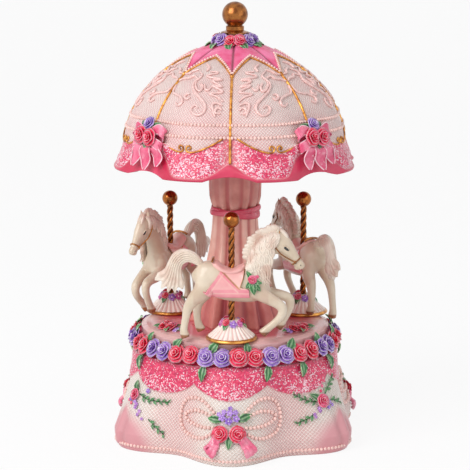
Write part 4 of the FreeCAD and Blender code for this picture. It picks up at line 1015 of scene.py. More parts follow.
scrollwork = {
    "radius": 0.64, "lift": 0.36, "steps": 14, "taper": 0.35,
    # each line: distance across the panel from its middle and height
    "lines": (
        ((-1.5, 175.2), (-5.4, 174.8), (-1.2, 173.3), (-8.6, 172.1), (-4.6, 171.6), (-9.9, 169.3),
         (-5.4, 169.8), (-11.1, 167.3), (-6.0, 166.5), (-9.6, 165.3), (-12.8, 163.4)),
        ((-13.0, 161.8), (-10.4, 162.8), (-8.6, 162.3), (-9.4, 160.2), (-10.4, 158.5), (-11.2, 157.2)),
        ((-13.4, 159.8), (-12.0, 160.9), (-10.6, 160.4), (-11.0, 158.8), (-13.2, 158.5)),
        ((-5.2, 169.0), (-4.6, 168.0), (-3.2, 168.2), (-1.8, 170.2)),
        ((0.2, 170.8), (-1.5, 169.0), (-1.1, 167.5), (0.6, 168.0), (2.2, 169.6), (2.6, 171.0)),
        ((3.8, 175.2), (1.2, 173.4), (3.4, 170.6), (2.8, 168.6), (0.5, 166.6), (-2.6, 164.5), (-5.0, 162.6),
         (-6.0, 160.6), (-5.4, 158.6), (-3.4, 157.7), (-1.0, 158.6), (0.1, 160.0), (-0.3, 161.3),
         (-1.5, 161.7), (-2.8, 160.7)),
        ((2.2, 172.0), (5.0, 173.1), (7.4, 172.0), (10.6, 171.6), (13.0, 170.6)),
        ((4.2, 175.6), (7.0, 174.8), (8.6, 173.8), (11.4, 173.4)),
        ((3.2, 166.0), (4.8, 165.8), (5.4, 164.7), (3.9, 163.9), (2.4, 164.8)),
        ((13.4, 168.9), (13.8, 167.2), (13.2, 165.8), (10.8, 165.3), (7.7, 164.5), (5.9, 163.1), (6.3, 161.5),
         (8.0, 161.0), (9.4, 162.0)),
        ((2.2, 178.0), (-0.2, 176.7), (0.2, 175.2)),
    ),
}


def makeScrollwork():
    q = scrollwork
    clay = Clay()
    for k in range(dome["panels"]):
        flip = -1 if k % 2 else 1  # every other panel is a mirror image
        for points in q["lines"]:
            line = along(points, q["steps"] * len(points))
            path = onPanel(front + dome["half"] * (2 * k + 1), line * (flip, 1), q["lift"], front)
            taper = np.sin(np.pi * np.linspace(0.06, 0.94, len(line))) ** q["taper"]
            clay.add(*tube(path, q["radius"] * taper, 7))
    clay.build("canopy_scrolls", finish["scroll"], "turntable")


makeCanopy()
makeRibs()
makeCanopyPearls()
makeScrollwork()


# column, pedestals and poles

column = {
    "foot": deckZ, "top": 167.0, "core": 6.0, "tieRadius": 10.4, "footRadius": 20.5, "curtain": 51.0,
    "spread": 1.7, "folds": 12, "fineFolds": 19, "deep": 1.9, "tightDeep": 0.5, "gatherZ": 107,
    "rows": 150, "columns": 360,
    # height and radius above the tie
    "head": ((108.4, 10.2), (110.5, 10.9), (113.7, 11.8), (119.0, 12.2), (131.0, 12.0), (167.0, 11.0)),
    # height, lean, half height and swell of each turn of the tie
    "tie": ((106.6, -1.2, 1.75, 0.5), (107.6, 1.0, 1.3, 0.9)), "tieThick": 0.62,
}


def makeColumn():
    c = column
    degrees = roundTurns(c["columns"])
    heights = np.linspace(c["foot"], c["top"], c["rows"])
    z, turn = np.meshgrid(heights, degrees, indexing="ij")
    share = np.clip((z - c["foot"]) / c["curtain"], 0, 1)
    radius = c["tieRadius"] + (c["footRadius"] - c["tieRadius"]) * (1 - share) ** c["spread"]
    headZ, headRadius = zip(*c["head"])
    radius = np.where(z > headZ[0], np.interp(z, headZ, headRadius), radius)
    sway = 9 * grain(polar(radius, turn, z) * (1, 1, 0.35), 11.0)
    loose = c["tightDeep"] + (c["deep"] - c["tightDeep"]) * (1 - share)
    deep = np.where(z < c["gatherZ"], loose, 0.35 + 0.45 * hump(z - c["gatherZ"], 9))
    wave = np.cos(np.radians(c["folds"] * (turn - front) + sway * 3))
    wave = wave + 0.45 * np.cos(np.radians(c["fineFolds"] * turn + 40 + sway * 4))
    points = polar(radius + deep * wave * 0.75 - 0.25, turn, z)
    bottom, top = (polar(c["core"], degrees, h)[None] for h in (c["foot"], c["top"]))
    # the fold mask is high in the hollows between folds and carries painted shade there
    fold = np.pad(smooth(-wave, -0.2, 1.2), ((1, 1), (0, 0)))
    clay = Clay()
    faces = gridFaces(len(heights) + 2, c["columns"], True, True)
    clay.add(np.concatenate([bottom, points, top]), faces, fold=fold)
    clay.build("draped_column", finish["drapery"], "turntable", "column")


def makeColumnTie():
    c = column
    clay = Clay()
    around = roundTurns(120)
    wave, tilt = np.cos(np.radians(7 * around)), np.cos(np.radians(around))
    for rise, lean, high, swell in c["tie"]:
        path = polar(c["tieRadius"] + swell + 0.25 * wave, around, rise + lean * tilt)
        clay.add(*tube(path, c["tieThick"], 12, high / c["tieThick"], upward, loop=True))
    clay.build("column_tie", finish["tie"], "turntable")


stations = [front, front + 120, front + 240]  # where the horses stand
pedestal = {
    "bore": 1.6, "rim": 11.7, "cone": 10.5, "neck": 3.6, "coneZ": 1.7, "high": 7.4,
    "pleats": 26, "deep": 0.42, "columns": 208, "rows": 16, "flare": 1.35,
}
poleRod = {
    "radius": 1.55, "flute": 0.36, "flutes": 3, "pitch": 11.0, "low": 52.8, "high": 106.2,
    "step": 0.4, "sides": 24,
}


def makePedestal(number, turn):
    # rows of radius, height, depth of pleats and gilding
    q = pedestal
    degrees = roundTurns(q["columns"])
    wave = np.abs(np.sin(np.radians(q["pleats"] / 2 * degrees)))
    rows = [(q["bore"], 0, 0, 1), (q["rim"] - 0.5, 0, 0, 1), (q["rim"], 0.35, 0, 1)]
    rows += [(q["rim"] + 0.1, 0.9, 0, 1), (q["rim"] - 0.4, 1.5, 0, 1)]
    rows += [(q["cone"] + 0.25, 1.62, 0, 1), (q["cone"], 1.64, 0.4, 0)]
    for share in np.linspace(0, 1, q["rows"]):
        radius = q["neck"] + (q["cone"] - q["neck"]) * (1 - share) ** q["flare"]
        rows.append((radius, q["coneZ"] + q["high"] * share, 1 - 0.55 * share, 0))
    rows.append((q["bore"], q["coneZ"] + q["high"], 0, 0))
    radius, height, pleat, gold = (values[:, None] for values in np.array(rows, float).T)
    points = polar(radius + q["deep"] * pleat * (wave - 0.5) * 2, degrees, deckZ + height)
    fold = pleat * (1 - smooth(wave, 0.0, 0.75))
    clay = Clay()
    faces = gridFaces(len(rows), q["columns"], True, True)
    clay.add(points + polar(poleCircle, turn, 0.0), faces, gold=np.broadcast_to(gold, fold.shape), fold=fold)
    clay.build(f"pleated_pedestal_{number}", finish["pleat"], "turntable", f"pedestal_{number}")


def makePole(number, turn):
    q = poleRod
    heights = np.arange(q["low"], q["high"], q["step"])
    ring = roundTurns(q["sides"])
    twist = 360 * (heights - q["low"]) / q["pitch"]
    swell = np.abs(np.cos(np.radians(q["flutes"] / 2 * ring)))
    radius = q["radius"] - 2 * q["flute"] + 2 * q["flute"] * swell**0.7
    points = polar(radius[None], ring[None] + twist[:, None], heights[:, None])
    groove = np.tile(1 - smooth(swell, 0.2, 0.72), len(heights))
    clay = Clay()
    clay.add(points + polar(poleCircle, turn, 0.0), rodFaces(len(heights), q["sides"]), groove=groove)
    clay.build(f"twisted_pole_{number}", finish["polished"], "turntable", f"horse_pole_{number}")


makeColumn()
makeColumnTie()
for number, turn in enumerate(stations, 1):
    makePedestal(number, turn)
    makePole(number, turn)


# flowers: +Z is the way a flower faces, and its radius is 1

bloom = {
    # petals in a ring, ring start and end radius, start and end height, half width in degrees, lip roll
    "rings": ((3, 0.10, 0.27, 0.34, 1.06, 86, 0.02), (3, 0.22, 0.46, 0.24, 0.98, 78, 0.10),
              (4, 0.36, 0.74, 0.10, 0.84, 62, 0.16), (5, 0.50, 1.02, 0.0, 0.58, 50, 0.20)),
    "ringTurn": 47, "thick": 0.05, "lean": 0.35, "rows": 6, "cols": 7,
    # half sizes, height and heart share of the bud and of the ball that carries the petals
    "core": (((0.30, 0.30, 0.55), 0.36, 0.8), ((0.62, 0.62, 0.42), 0.02, 0.5)),
    "smallPetals": 5, "smallLobe": (0.42, 0.36, 0.16), "smallReach": 0.52, "smallEye": (0.2, 0.2, 0.18),
}


def petal(start, end, low, high, half, lip, turn):
    v, u = np.meshgrid(np.linspace(0, 1, bloom["rows"]), np.linspace(-1, 1, bloom["cols"]), indexing="ij")
    radius = start + (end - start) * v**1.5 + lip * smooth(v, 0.7, 1.0) + 0.05 * u**2 * v
    angle = turn + half * u * (0.55 + 0.45 * np.sin(np.pi * np.clip(v * 0.75 + 0.1, 0, 1)))
    z = low + (high - low) * v - 0.16 * u**2 * v - lip * 0.7 * smooth(v, 0.78, 1.0)
    sheet = polar(radius, angle, z)
    shell, faces = slab(sheet, sheet - bloom["thick"] * polar(1.0, angle, bloom["lean"]))
    rim = np.maximum(smooth(v, 0.8, 0.98), smooth(np.abs(u), 0.86, 1.0) * v)
    heart = 0.75 * (1 - smooth(v, 0.1, 0.7))
    return shell, faces, bothSides(rim), bothSides(heart)


def roseForm():
    form = Clay()
    verts, faces = ball(7, 10)
    for size, z, heart in bloom["core"]:
        form.add(verts * size + (0, 0, z), faces, heart=heart)
    for k, (count, *shape) in enumerate(bloom["rings"]):
        for i in range(count):
            shell, sides, rim, heart = petal(*shape, 360 * i / count + bloom["ringTurn"] * k)
            form.add(shell, sides, rim=rim, heart=heart)
    return form


def blossomForm():
    # a flat open blossom of round petals
    form = Clay()
    verts, faces = ball(6, 8)
    for i in range(bloom["smallPetals"]):
        lobe = verts * bloom["smallLobe"] + (bloom["smallReach"], 0, 0.1 + 0.04 * (i % 2))
        rim = np.clip(np.hypot(lobe[:, 0], lobe[:, 1]) - 0.45, 0, 0.45) * 1.8
        form.add(spun(lobe, 2 * math.pi * i / bloom["smallPetals"]), faces, rim=rim)
    form.add(verts * bloom["smallEye"] + (0, 0, 0.2), faces, rim=1.0)
    return form


rose = roseForm()
blossom = blossomForm()


def plant(clay, form, verts, place, out, radius, up, violet, pink):
    masks = {"rim": form.mask("rim"), "heart": form.mask("heart"), "violet": violet, "pink": pink}
    clay.add(posed(verts, place, out, up, radius), form.faces, **masks)


def plantRose(clay, place, out, radius, violet=0.0, pink=0.0, up=upward, spin=None):
    turn = dice.uniform(0, 2 * np.pi) if spin is None else spin
    plant(clay, rose, spun(rose.points(), turn), place, out, radius, up, violet, pink)


def plantBlossom(clay, place, out, radius, violet=1.0, pink=0.0, up=upward):
    plant(clay, blossom, blossom.points(), place, out, radius, up, violet, pink)


leafShape = {"rows": 13, "cols": 7, "thick": 0.09, "teeth": 5, "toothDeep": 0.2, "bend": 0.132, "fold": 0.32}


def plantLeaf(clay, root, tip, out, width):
    # a toothed leaf from its stalk to its tip, lying back on a surface
    q = leafShape
    root, tip, out = (np.asarray(p, float) for p in (root, tip, out))
    v, u = np.meshgrid(np.linspace(0, 1, q["rows"]), np.linspace(-1, 1, q["cols"]), indexing="ij")
    saw = 1 - q["toothDeep"] * ((v * q["teeth"]) % 1.0) * (v > 0.12)
    wide = 0.5 * width * np.sin(np.pi * np.clip(v, 0.03, 0.985) ** 0.72) ** 0.8 * saw
    sheet = np.stack([u * wide, v, q["fold"] * np.abs(u) * wide + q["bend"] * np.sin(np.pi * v)], -1)
    shell, faces = slab(sheet, sheet - (0, 0, q["thick"]))
    rim = bothSides(smooth(np.abs(u), 0.6, 1.0))
    vein = bothSides(np.maximum(1 - np.abs(u) * 5, 0))
    ahead = unit(tip - root)
    lift = unit(out - ahead * np.dot(out, ahead))
    clay.add(posed(shell, root, lift, ahead, np.linalg.norm(tip - root)), faces, rim=rim, vein=vein)


# rose garland on the rim of the base

garland = {
    "roses": 40, "circle": 47.1, "z": 47.6, "zStray": 0.35, "tilt": 28.0, "sink": 0.55,
    "radius": 3.75, "smallest": 0.95, "largest": 1.06,
    "hanging": (212, 255, 290, 312, 334, 10, 50, 90, 130, 170),
    "hangTop": (43.6, 1.4), "hangTip": (36.2, 1.9),
    "standing": 16, "standingFrom": 214, "standRoot": (46.6, 49.6), "standTip": (44.9, 54.4), "standLean": 5,
}


def makeGarland():
    g = garland
    roses, leaves = Clay(), Clay()
    tilt, pitch = math.radians(g["tilt"]), 360 / g["roses"]
    for i in range(g["roses"]):
        turn = front + pitch / 2 + pitch * i
        out = polar(math.cos(tilt), turn, math.sin(tilt))
        place = polar(g["circle"], turn, g["z"] + dice.uniform(-g["zStray"], g["zStray"])) - out * g["sink"]
        size = g["radius"] * dice.uniform(g["smallest"], g["largest"])
        plantRose(roses, place, out, size, violet=float((i // 2) % 2))
    for turn in g["hanging"]:
        root, out = onSkirt(turn + dice.uniform(-1, 1), *g["hangTop"])
        tip, _ = onSkirt(turn + dice.uniform(-2, 2), *g["hangTip"])
        plantLeaf(leaves, root, tip, out, 0.56)
    for i in range(g["standing"]):
        turn = g["standingFrom"] + i * 360 / g["standing"] + dice.uniform(-2, 2)
        lean = dice.uniform(-g["standLean"], g["standLean"])
        (low, lowZ), (high, highZ) = g["standRoot"], g["standTip"]
        plantLeaf(leaves, polar(low, turn, lowZ), polar(high, turn + lean, highZ), polar(1, turn, 0.45), 0.74)
    roses.build("garland_roses", finish["petal"], "base", "rose_garland")
    leaves.build("garland_leaves", finish["leaf"], "base")


makeGarland()


# bouquets and sprays on the skirt

bouquet = {
    # places: distance across from the middle of the lobe and height, with a radius for flowers
    "outer": ((6.0, 22.4), (8.6, 25.2), (12.0, 27.8), (15.6, 28.8), (19.0, 27.9), (21.4, 25.0), (22.5, 20.5),
              (22.2, 15.8), (19.8, 12.6), (15.4, 11.5), (11.4, 12.4), (8.6, 14.2)),
    "inner": ((7.4, 21.2), (10.4, 22.6), (14.2, 23.4), (18.2, 22.4), (20.4, 20.2), (18.8, 18.2), (15.2, 17.0),
              (11.0, 16.8), (7.4, 17.2)),
    "bead": 0.9, "step": 1.95, "lift": 0.5,
    "roses": ((-4.0, 14.7, 3.3), (3.5, 14.7, 3.4)),
    "violets": ((-3.2, 21.6, 2.0), (0.2, 23.6, 1.9), (2.8, 21.2, 2.0), (-0.4, 20.2, 2.2), (-2.4, 24.0, 1.5),
                (2.6, 23.9, 1.5), (0.3, 25.6, 1.3), (-4.6, 23.0, 1.3)),
    "leaves": (((-3.8, 20.4), (-9.6, 21.0)), ((3.8, 20.6), (9.6, 22.6)), ((0.0, 13.6), (-0.4, 8.4))),
    "tails": (((-4.6, 13.6), (-6.4, 11.0), (-7.4, 8.6), (-9.0, 6.6)),
              ((4.2, 13.6), (6.4, 11.4), (8.2, 9.2), (9.6, 6.2))),
    "tailWidth": 7.8, "tailFolds": 3, "tailWave": 0.55, "tailLift": 0.9, "fluteRise": 0.3,
}


def addBowTail(clay, turn, points):
    b = bouquet
    line = along(points, 30)
    middle, out = skirtSpot(turn, line[:, 0], line[:, 1], b["tailLift"])
    share = np.linspace(0, 1, len(line))
    middle = middle + out * (b["tailWave"] * np.sin(share * np.pi * b["tailFolds"]))[:, None]
    across = np.cross(out, unit(np.gradient(middle, axis=0)))
    for edge in (-1, 0, 1):  # three soft flutes side by side
        aside = across * (edge * b["tailWidth"] * 0.27 * (0.55 + 0.45 * share))[:, None]
        flute = middle + aside + out * (b["fluteRise"] * (edge == 0))
        clay.add(*tube(flute, b["tailWidth"] * 0.2 * (0.6 + 0.4 * share), 10, 0.62, out))


def makeBouquets():
    b = bouquet
    beads, blooms, leaves, tails = Clay(), Clay(), Clay(), Clay()
    for turn in stations:
        for hand in (-1, 1):
            for key in ("outer", "inner"):
                line = along(np.array(b[key]) * (hand, 1), 160)
                loop, _ = skirtSpot(turn, line[:, 0], line[:, 1], b["lift"])
                pearls(beads, evenly(loop, b["step"]), b["bead"])
        for across, z, size in b["roses"]:
            place, out = skirtSpot(turn, across, z, 0.2)
            plantRose(blooms, place, out, size)
        for across, z, size in b["violets"]:
            place, out = skirtSpot(turn, across, z, 1.1)
            plantBlossom(blooms, place, out + (0, 0, 0.15), size)
        for root, tip in b["leaves"]:
            low, out = skirtSpot(turn, *root, 0.5)
            high, _ = skirtSpot(turn, *tip, 0.8)
            plantLeaf(leaves, low, high, out, 0.6)
        for points in b["tails"]:
            addBowTail(tails, turn, points)
    beads.build("skirt_pearl_loops", finish["pearl"], "base")
    blooms.build("skirt_bouquet_blooms", finish["petal"], "base", "base_bouquets")
    leaves.build("skirt_bouquet_leaves", finish["leaf"], "base")
    tails.build("skirt_bow_tails", finish["paleRibbon"], "base")


spray = {
    # places: degrees from the corner and height, with a radius for flowers
    "right": {
        "rose": (-9.0, 24.2, 2.7), "leaf": ((-10.5, 25.0), (-15.0, 28.0)),
        "violets": ((-5.4, 23.2, 1.3), (-4.2, 21.8, 1.1), (-6.6, 21.0, 1.2)),
        "vines": (((-11.5, 24.6), (-15.0, 24.6), (-19.0, 26.2), (-24.0, 28.6)),
                  ((-14.5, 19.0), (-18.0, 17.2), (-23.5, 15.6)),
                  ((-7.0, 26.4), (-3.0, 29.6), (3.0, 32.6), (6.0, 34.6)),
                  ((-5.0, 24.0), (-1.0, 23.4), (2.0, 22.0))),
        "drops": ((-9.5, 22.2), (-12.0, 20.4), (-15.0, 17.6)),
        "buds": ((-8.5, 28.6), (-7.0, 30.6), (-4.6, 32.6)),
    },
    "left": {
        "rose": (4.4, 25.4, 2.3), "leaf": ((4.6, 27.4), (2.8, 31.6)),
        "violets": ((12.0, 28.2, 1.4), (5.6, 22.6, 1.3), (2.6, 23.2, 1.4)),
        "vines": (((7.0, 26.2), (11.0, 24.8), (17.0, 24.2), (24.5, 24.6)),
                  ((15.0, 15.8), (18.5, 13.2), (23.5, 9.8))),
        "drops": ((6.4, 21.4), (8.6, 19.2), (11.2, 15.6)),
        "buds": ((1.6, 24.4), (1.0, 22.4), (3.4, 21.4)),
    },
    "corners": ((front + 60, "right"), (front - 60, "left"), (front + 180, "right")),
    "vineRadius": 0.28, "leafEvery": 1.5, "leafLength": 2.6, "dropCount": 5, "dropSize": 1.3,
}


def addVine(clay, turn, points):
    # a thin stem with leaves on both its sides by turns
    q = spray
    line = along(points, 40)
    stem, out = onSkirt(turn + line[:, 0], line[:, 1], 0.35)
    clay.add(*tube(stem, q["vineRadius"], 6))
    spots = evenly(stem, q["leafEvery"])
    for step, spot in enumerate(spots[1:], 1):
        i = np.argmin(np.linalg.norm(stem - spot, axis=1))
        ahead = unit(stem[min(i + 1, len(stem) - 1)] - stem[max(i - 1, 0)])
        side = np.cross(out[i], ahead) * (1 if step % 2 else -1)
        length = q["leafLength"] * (1 - 0.3 * step / len(spots))
        plantLeaf(clay, spot, spot + (ahead * 0.75 + side * 0.7 + out[i] * 0.25) * length, out[i], 0.6)


def makeSprays():
    q = spray
    blooms, leaves = Clay(), Clay()
    for turn, key in q["corners"]:
        form = q[key]
        offset, z, size = form["rose"]
        place, out = onSkirt(turn + offset, z, 0.3)
        plantRose(blooms, place, out, size, pink=1.0)
        root, tip = form["leaf"]
        low, out = onSkirt(turn + root[0], root[1], 0.4)
        high, _ = onSkirt(turn + tip[0], tip[1], 0.6)
        plantLeaf(leaves, low, high, out, 0.66)
        for offset, z, size in form["violets"]:
            place, out = onSkirt(turn + offset, z, 0.7)
            plantBlossom(blooms, place, out, size)
        for step, (offset, z) in enumerate(along(form["drops"], q["dropCount"])):
            place, out = onSkirt(turn + offset + 0.8 * (-1) ** step, z, 0.7)
            plantBlossom(blooms, place, out, q["dropSize"] - 0.1 * step, violet=0.85, pink=0.4)
        for offset, z in form["buds"]:
            place, out = onSkirt(turn + offset, z, 0.5)
            plantBlossom(blooms, place, out, 1.0, violet=0.0, pink=1.0)
        for points in form["vines"]:
            addVine(leaves, turn, points)
    blooms.build("skirt_spray_blooms", finish["petal"], "base")
    leaves.build("skirt_spray_leaves", finish["leaf"], "base")


makeBouquets()
makeSprays()


# flowers on the deck and on the pedestals

deckPosy = {
    "circle": 35.0, "turns": (front - 60, front + 60, front + 180),
    # places: along the rim and towards the axis, then radius and pinkness
    "roses": ((-3.0, 0.8, 2.5, 0), (1.0, 1.6, 2.5, 1), (3.4, -0.8, 2.4, 0), (-0.5, -2.0, 2.4, 0)),
    "violets": ((7.0, 0.6, 2.1), (-6.8, 1.0, 2.2), (-5.4, 3.2, 1.7), (6.0, 3.0, 1.6)),
    "leaves": ((-1.2, -2.8, -4.8, -5.4), (3.0, -2.2, 7.0, -4.6), (0.8, 3.2, 2.2, 6.4),
               (-6.8, 1.6, -10.0, 2.8), (6.4, 1.0, 9.8, 1.8)),
}
poleWreath = {
    "blooms": 9, "firstTurn": 12, "circle": 4.5, "z": 7.5, "rose": 1.5, "blossom": 2.25,
    "pinkRose": 5,
}


def addDeckPosy(blooms, leaves, turn):
    q = deckPosy
    out, side = polar(1.0, turn, 0.0), polar(1.0, turn + 90, 0.0)
    centre = out * q["circle"] + (0, 0, deckZ)
    for x, y, size, pink in q["roses"]:
        place = centre + side * x - out * y + (0, 0, 0.4)
        plantRose(blooms, place, out * 0.45 + upward, size, pink=float(pink), up=out)
    for x, y, size in q["violets"]:
        place = centre + side * x - out * y + (0, 0, 0.5)
        plantBlossom(blooms, place, out * 0.5 + upward, size, up=out)
    for x, y, tipX, tipY in q["leaves"]:
        root = centre + side * x - out * y + (0, 0, 0.5)
        tip = centre + side * tipX - out * tipY + (0, 0, 0.9)
        plantLeaf(leaves, root, tip, out * 0.4 + upward, 0.62)


def addPoleWreath(blooms, leaves, turn):
    # a small ring of blossom round the foot of a pole
    q = poleWreath
    middle = polar(poleCircle, turn, deckZ + q["z"])
    for k in range(q["blooms"]):
        angle = turn + 360 / q["blooms"] * k + q["firstTurn"]
        out = polar(0.85, angle, 0.55)
        place = middle + polar(q["circle"], angle, 0.0)
        if k % 3 == 2:
            plantLeaf(leaves, place - out * 0.2, place + polar(2.6, angle, -2.2), out, 0.75)
            plantRose(blooms, place + (0, 0, 0.9), out, q["rose"], pink=float(k == q["pinkRose"]))
        else:
            violet = 0.45 if k % 3 else 0.95
            plantBlossom(blooms, place + out * 0.3, out, q["blossom"], violet=violet, pink=1.0)


def makeDeckPosies():
    blooms, leaves = Clay(), Clay()
    for turn in deckPosy["turns"]:
        addDeckPosy(blooms, leaves, turn)
    for turn in stations:
        addPoleWreath(blooms, leaves, turn)
    blooms.build("deck_posies", finish["petal"], "turntable", "deck_flowers")
    leaves.build("deck_leaves", finish["leaf"], "turntable")


makeDeckPosies()


# crown wreath and bows on the canopy

wreath = {
    "roses": 12, "firstTurn": front - 13, "circle": 8.3, "z": 186.6, "zStep": 0.4,
    "red": 2.695, "violet": 2.86,  # radii
    "leafTurns": (255, 290, 330, 12, 50, 92, 130, 172, 214),
    "leafRoot": (9.6, 185.6), "leafTip": (14.4, 183.2),
}


def makeWreath():
    q = wreath
    blooms, leaves = Clay(), Clay()
    for i in range(q["roses"]):
        turn = q["firstTurn"] + 360 / q["roses"] * i
        violet = (i // 2) % 2
        place = polar(q["circle"], turn, q["z"] + q["zStep"] * (i % 2))
        size = q["violet"] if violet else q["red"]
        plantRose(blooms, place, polar(0.82, turn, 0.57), size, violet=float(violet), pink=0.6 * (i % 2))
    for turn in q["leafTurns"]:
        (low, lowZ), (high, highZ) = q["leafRoot"], q["leafTip"]
        out = polar(0.75, turn, 0.65)
        plantLeaf(leaves, polar(low, turn, lowZ), polar(high, turn + 6, highZ), out, 0.72)
    blooms.build("crown_wreath", finish["petal"], "turntable", "crown_roses")
    leaves.build("crown_leaves", finish["leaf"], "turntable")


bow = {
    "z": 146.2, "lift": 1.0, "edge": 0.27, "loopWidth": 4.6, "loopThick": 0.55,
    "tailWidth": 7.4, "tailThick": 0.6,
    # places: right, up and outward from the middle of the bow, with a radius for roses
    "loops": (((0.6, 0.6, 0.8), (3.4, 3.0, 2.8), (7.6, 4.2, 2.6), (9.6, 2.2, 1.2), (7.2, 0.6, -0.2),
               (3.4, 0.2, -0.3), (0.6, 0.0, 0.0)),
              ((0.6, -0.6, 0.8), (3.8, -1.4, 2.8), (7.6, -2.6, 2.8), (9.4, -3.8, 1.2), (6.8, -3.4, 0.0),
               (3.4, -1.8, -0.2), (0.6, -0.6, 0.0))),
    "tails": (((-1.4, -2.0, 1.2), (-3.6, -5.0, 3.0), (-5.6, -9.0, 1.8), (-6.6, -13.6, 2.6)),
              ((0.4, -2.2, 1.8), (1.0, -6.0, 3.4), (1.2, -10.0, 2.0), (2.0, -14.6, 2.8)),
              ((2.4, -1.8, 0.8), (5.8, -4.4, 2.4), (8.0, -8.2, 1.0), (8.8, -12.4, 2.0))),
    "roses": ((-3.0, 0.6, 2.6, 3.5), (3.0, 0.0, 2.6, 3.5)), "bud": (-0.2, 6.0, 1.6, 2.7),
    "leaves": (((-1.4, 4.0, 0.9), (-6.4, 7.0, 0.8)), ((1.6, 3.8, 0.9), (5.8, 7.2, 0.8)),
               ((0.4, -2.2, 2.6), (0.8, -5.8, 3.2))),
}


def makeBow(number, turn):
    b = bow
    centre, out = onDome(turn, b["z"], b["lift"])
    right = unit(np.cross(upward, out))
    up = np.cross(out, right)

    def spot(places):
        return centre + np.asarray(places) @ np.stack([right, up, out])

    ribbons, edges, blooms, leaves = Clay(), Clay(), Clay(), Clay()
    for hand in (-1, 1):
        for points in b["loops"]:
            line = spot(along(np.array(points) * (hand, 1, 1), 40))
            width = b["loopWidth"] * (0.3 + 0.7 * np.sin(np.pi * np.linspace(0, 1, len(line))) ** 0.7)
            ribbons.add(*ribbon(line, width, up, b["loopThick"]))
            for side in (-0.48, 0.48):
                edges.add(*tube((line + up * (width * side)[:, None])[4:26], b["edge"], 7))
    for points in b["tails"]:
        line = spot(along(points, 44))
        width = b["tailWidth"] * np.sin(np.pi * np.linspace(0.1, 0.97, len(line))) ** 0.75
        ribbons.add(*ribbon(line, width, right, b["tailThick"]))
        for side in (-0.47, 0.47):
            edges.add(*tube((line + right * (width * side)[:, None] + out * 0.2)[3:], b["edge"], 7))
    for *place, size in b["roses"]:
        plantRose(blooms, spot(place), out, size, pink=0.25)
    *place, size = b["bud"]
    plantRose(blooms, spot(place), out + up * 0.4, size, violet=1.0)
    for root, tip in b["leaves"]:
        plantLeaf(leaves, spot(root), spot(tip), out, 0.66)
    ribbons.build(f"bow_ribbon_{number}", finish["pinkRibbon"], "turntable", f"canopy_bow_{number}")
    edges.build(f"bow_edges_{number}", finish["ribbonEdge"], "turntable")
    blooms.build(f"bow_blooms_{number}", finish["petal"], "turntable")
    leaves.build(f"bow_leaves_{number}", finish["leaf"], "turntable")


makeWreath()
for number in range(1, dome["bows"] + 1):
    makeBow(number, front + (number - 0.5) * 360 / dome["bows"])


# horse: drawn about its pole with +X ahead, +Y to its left and Z from the deck

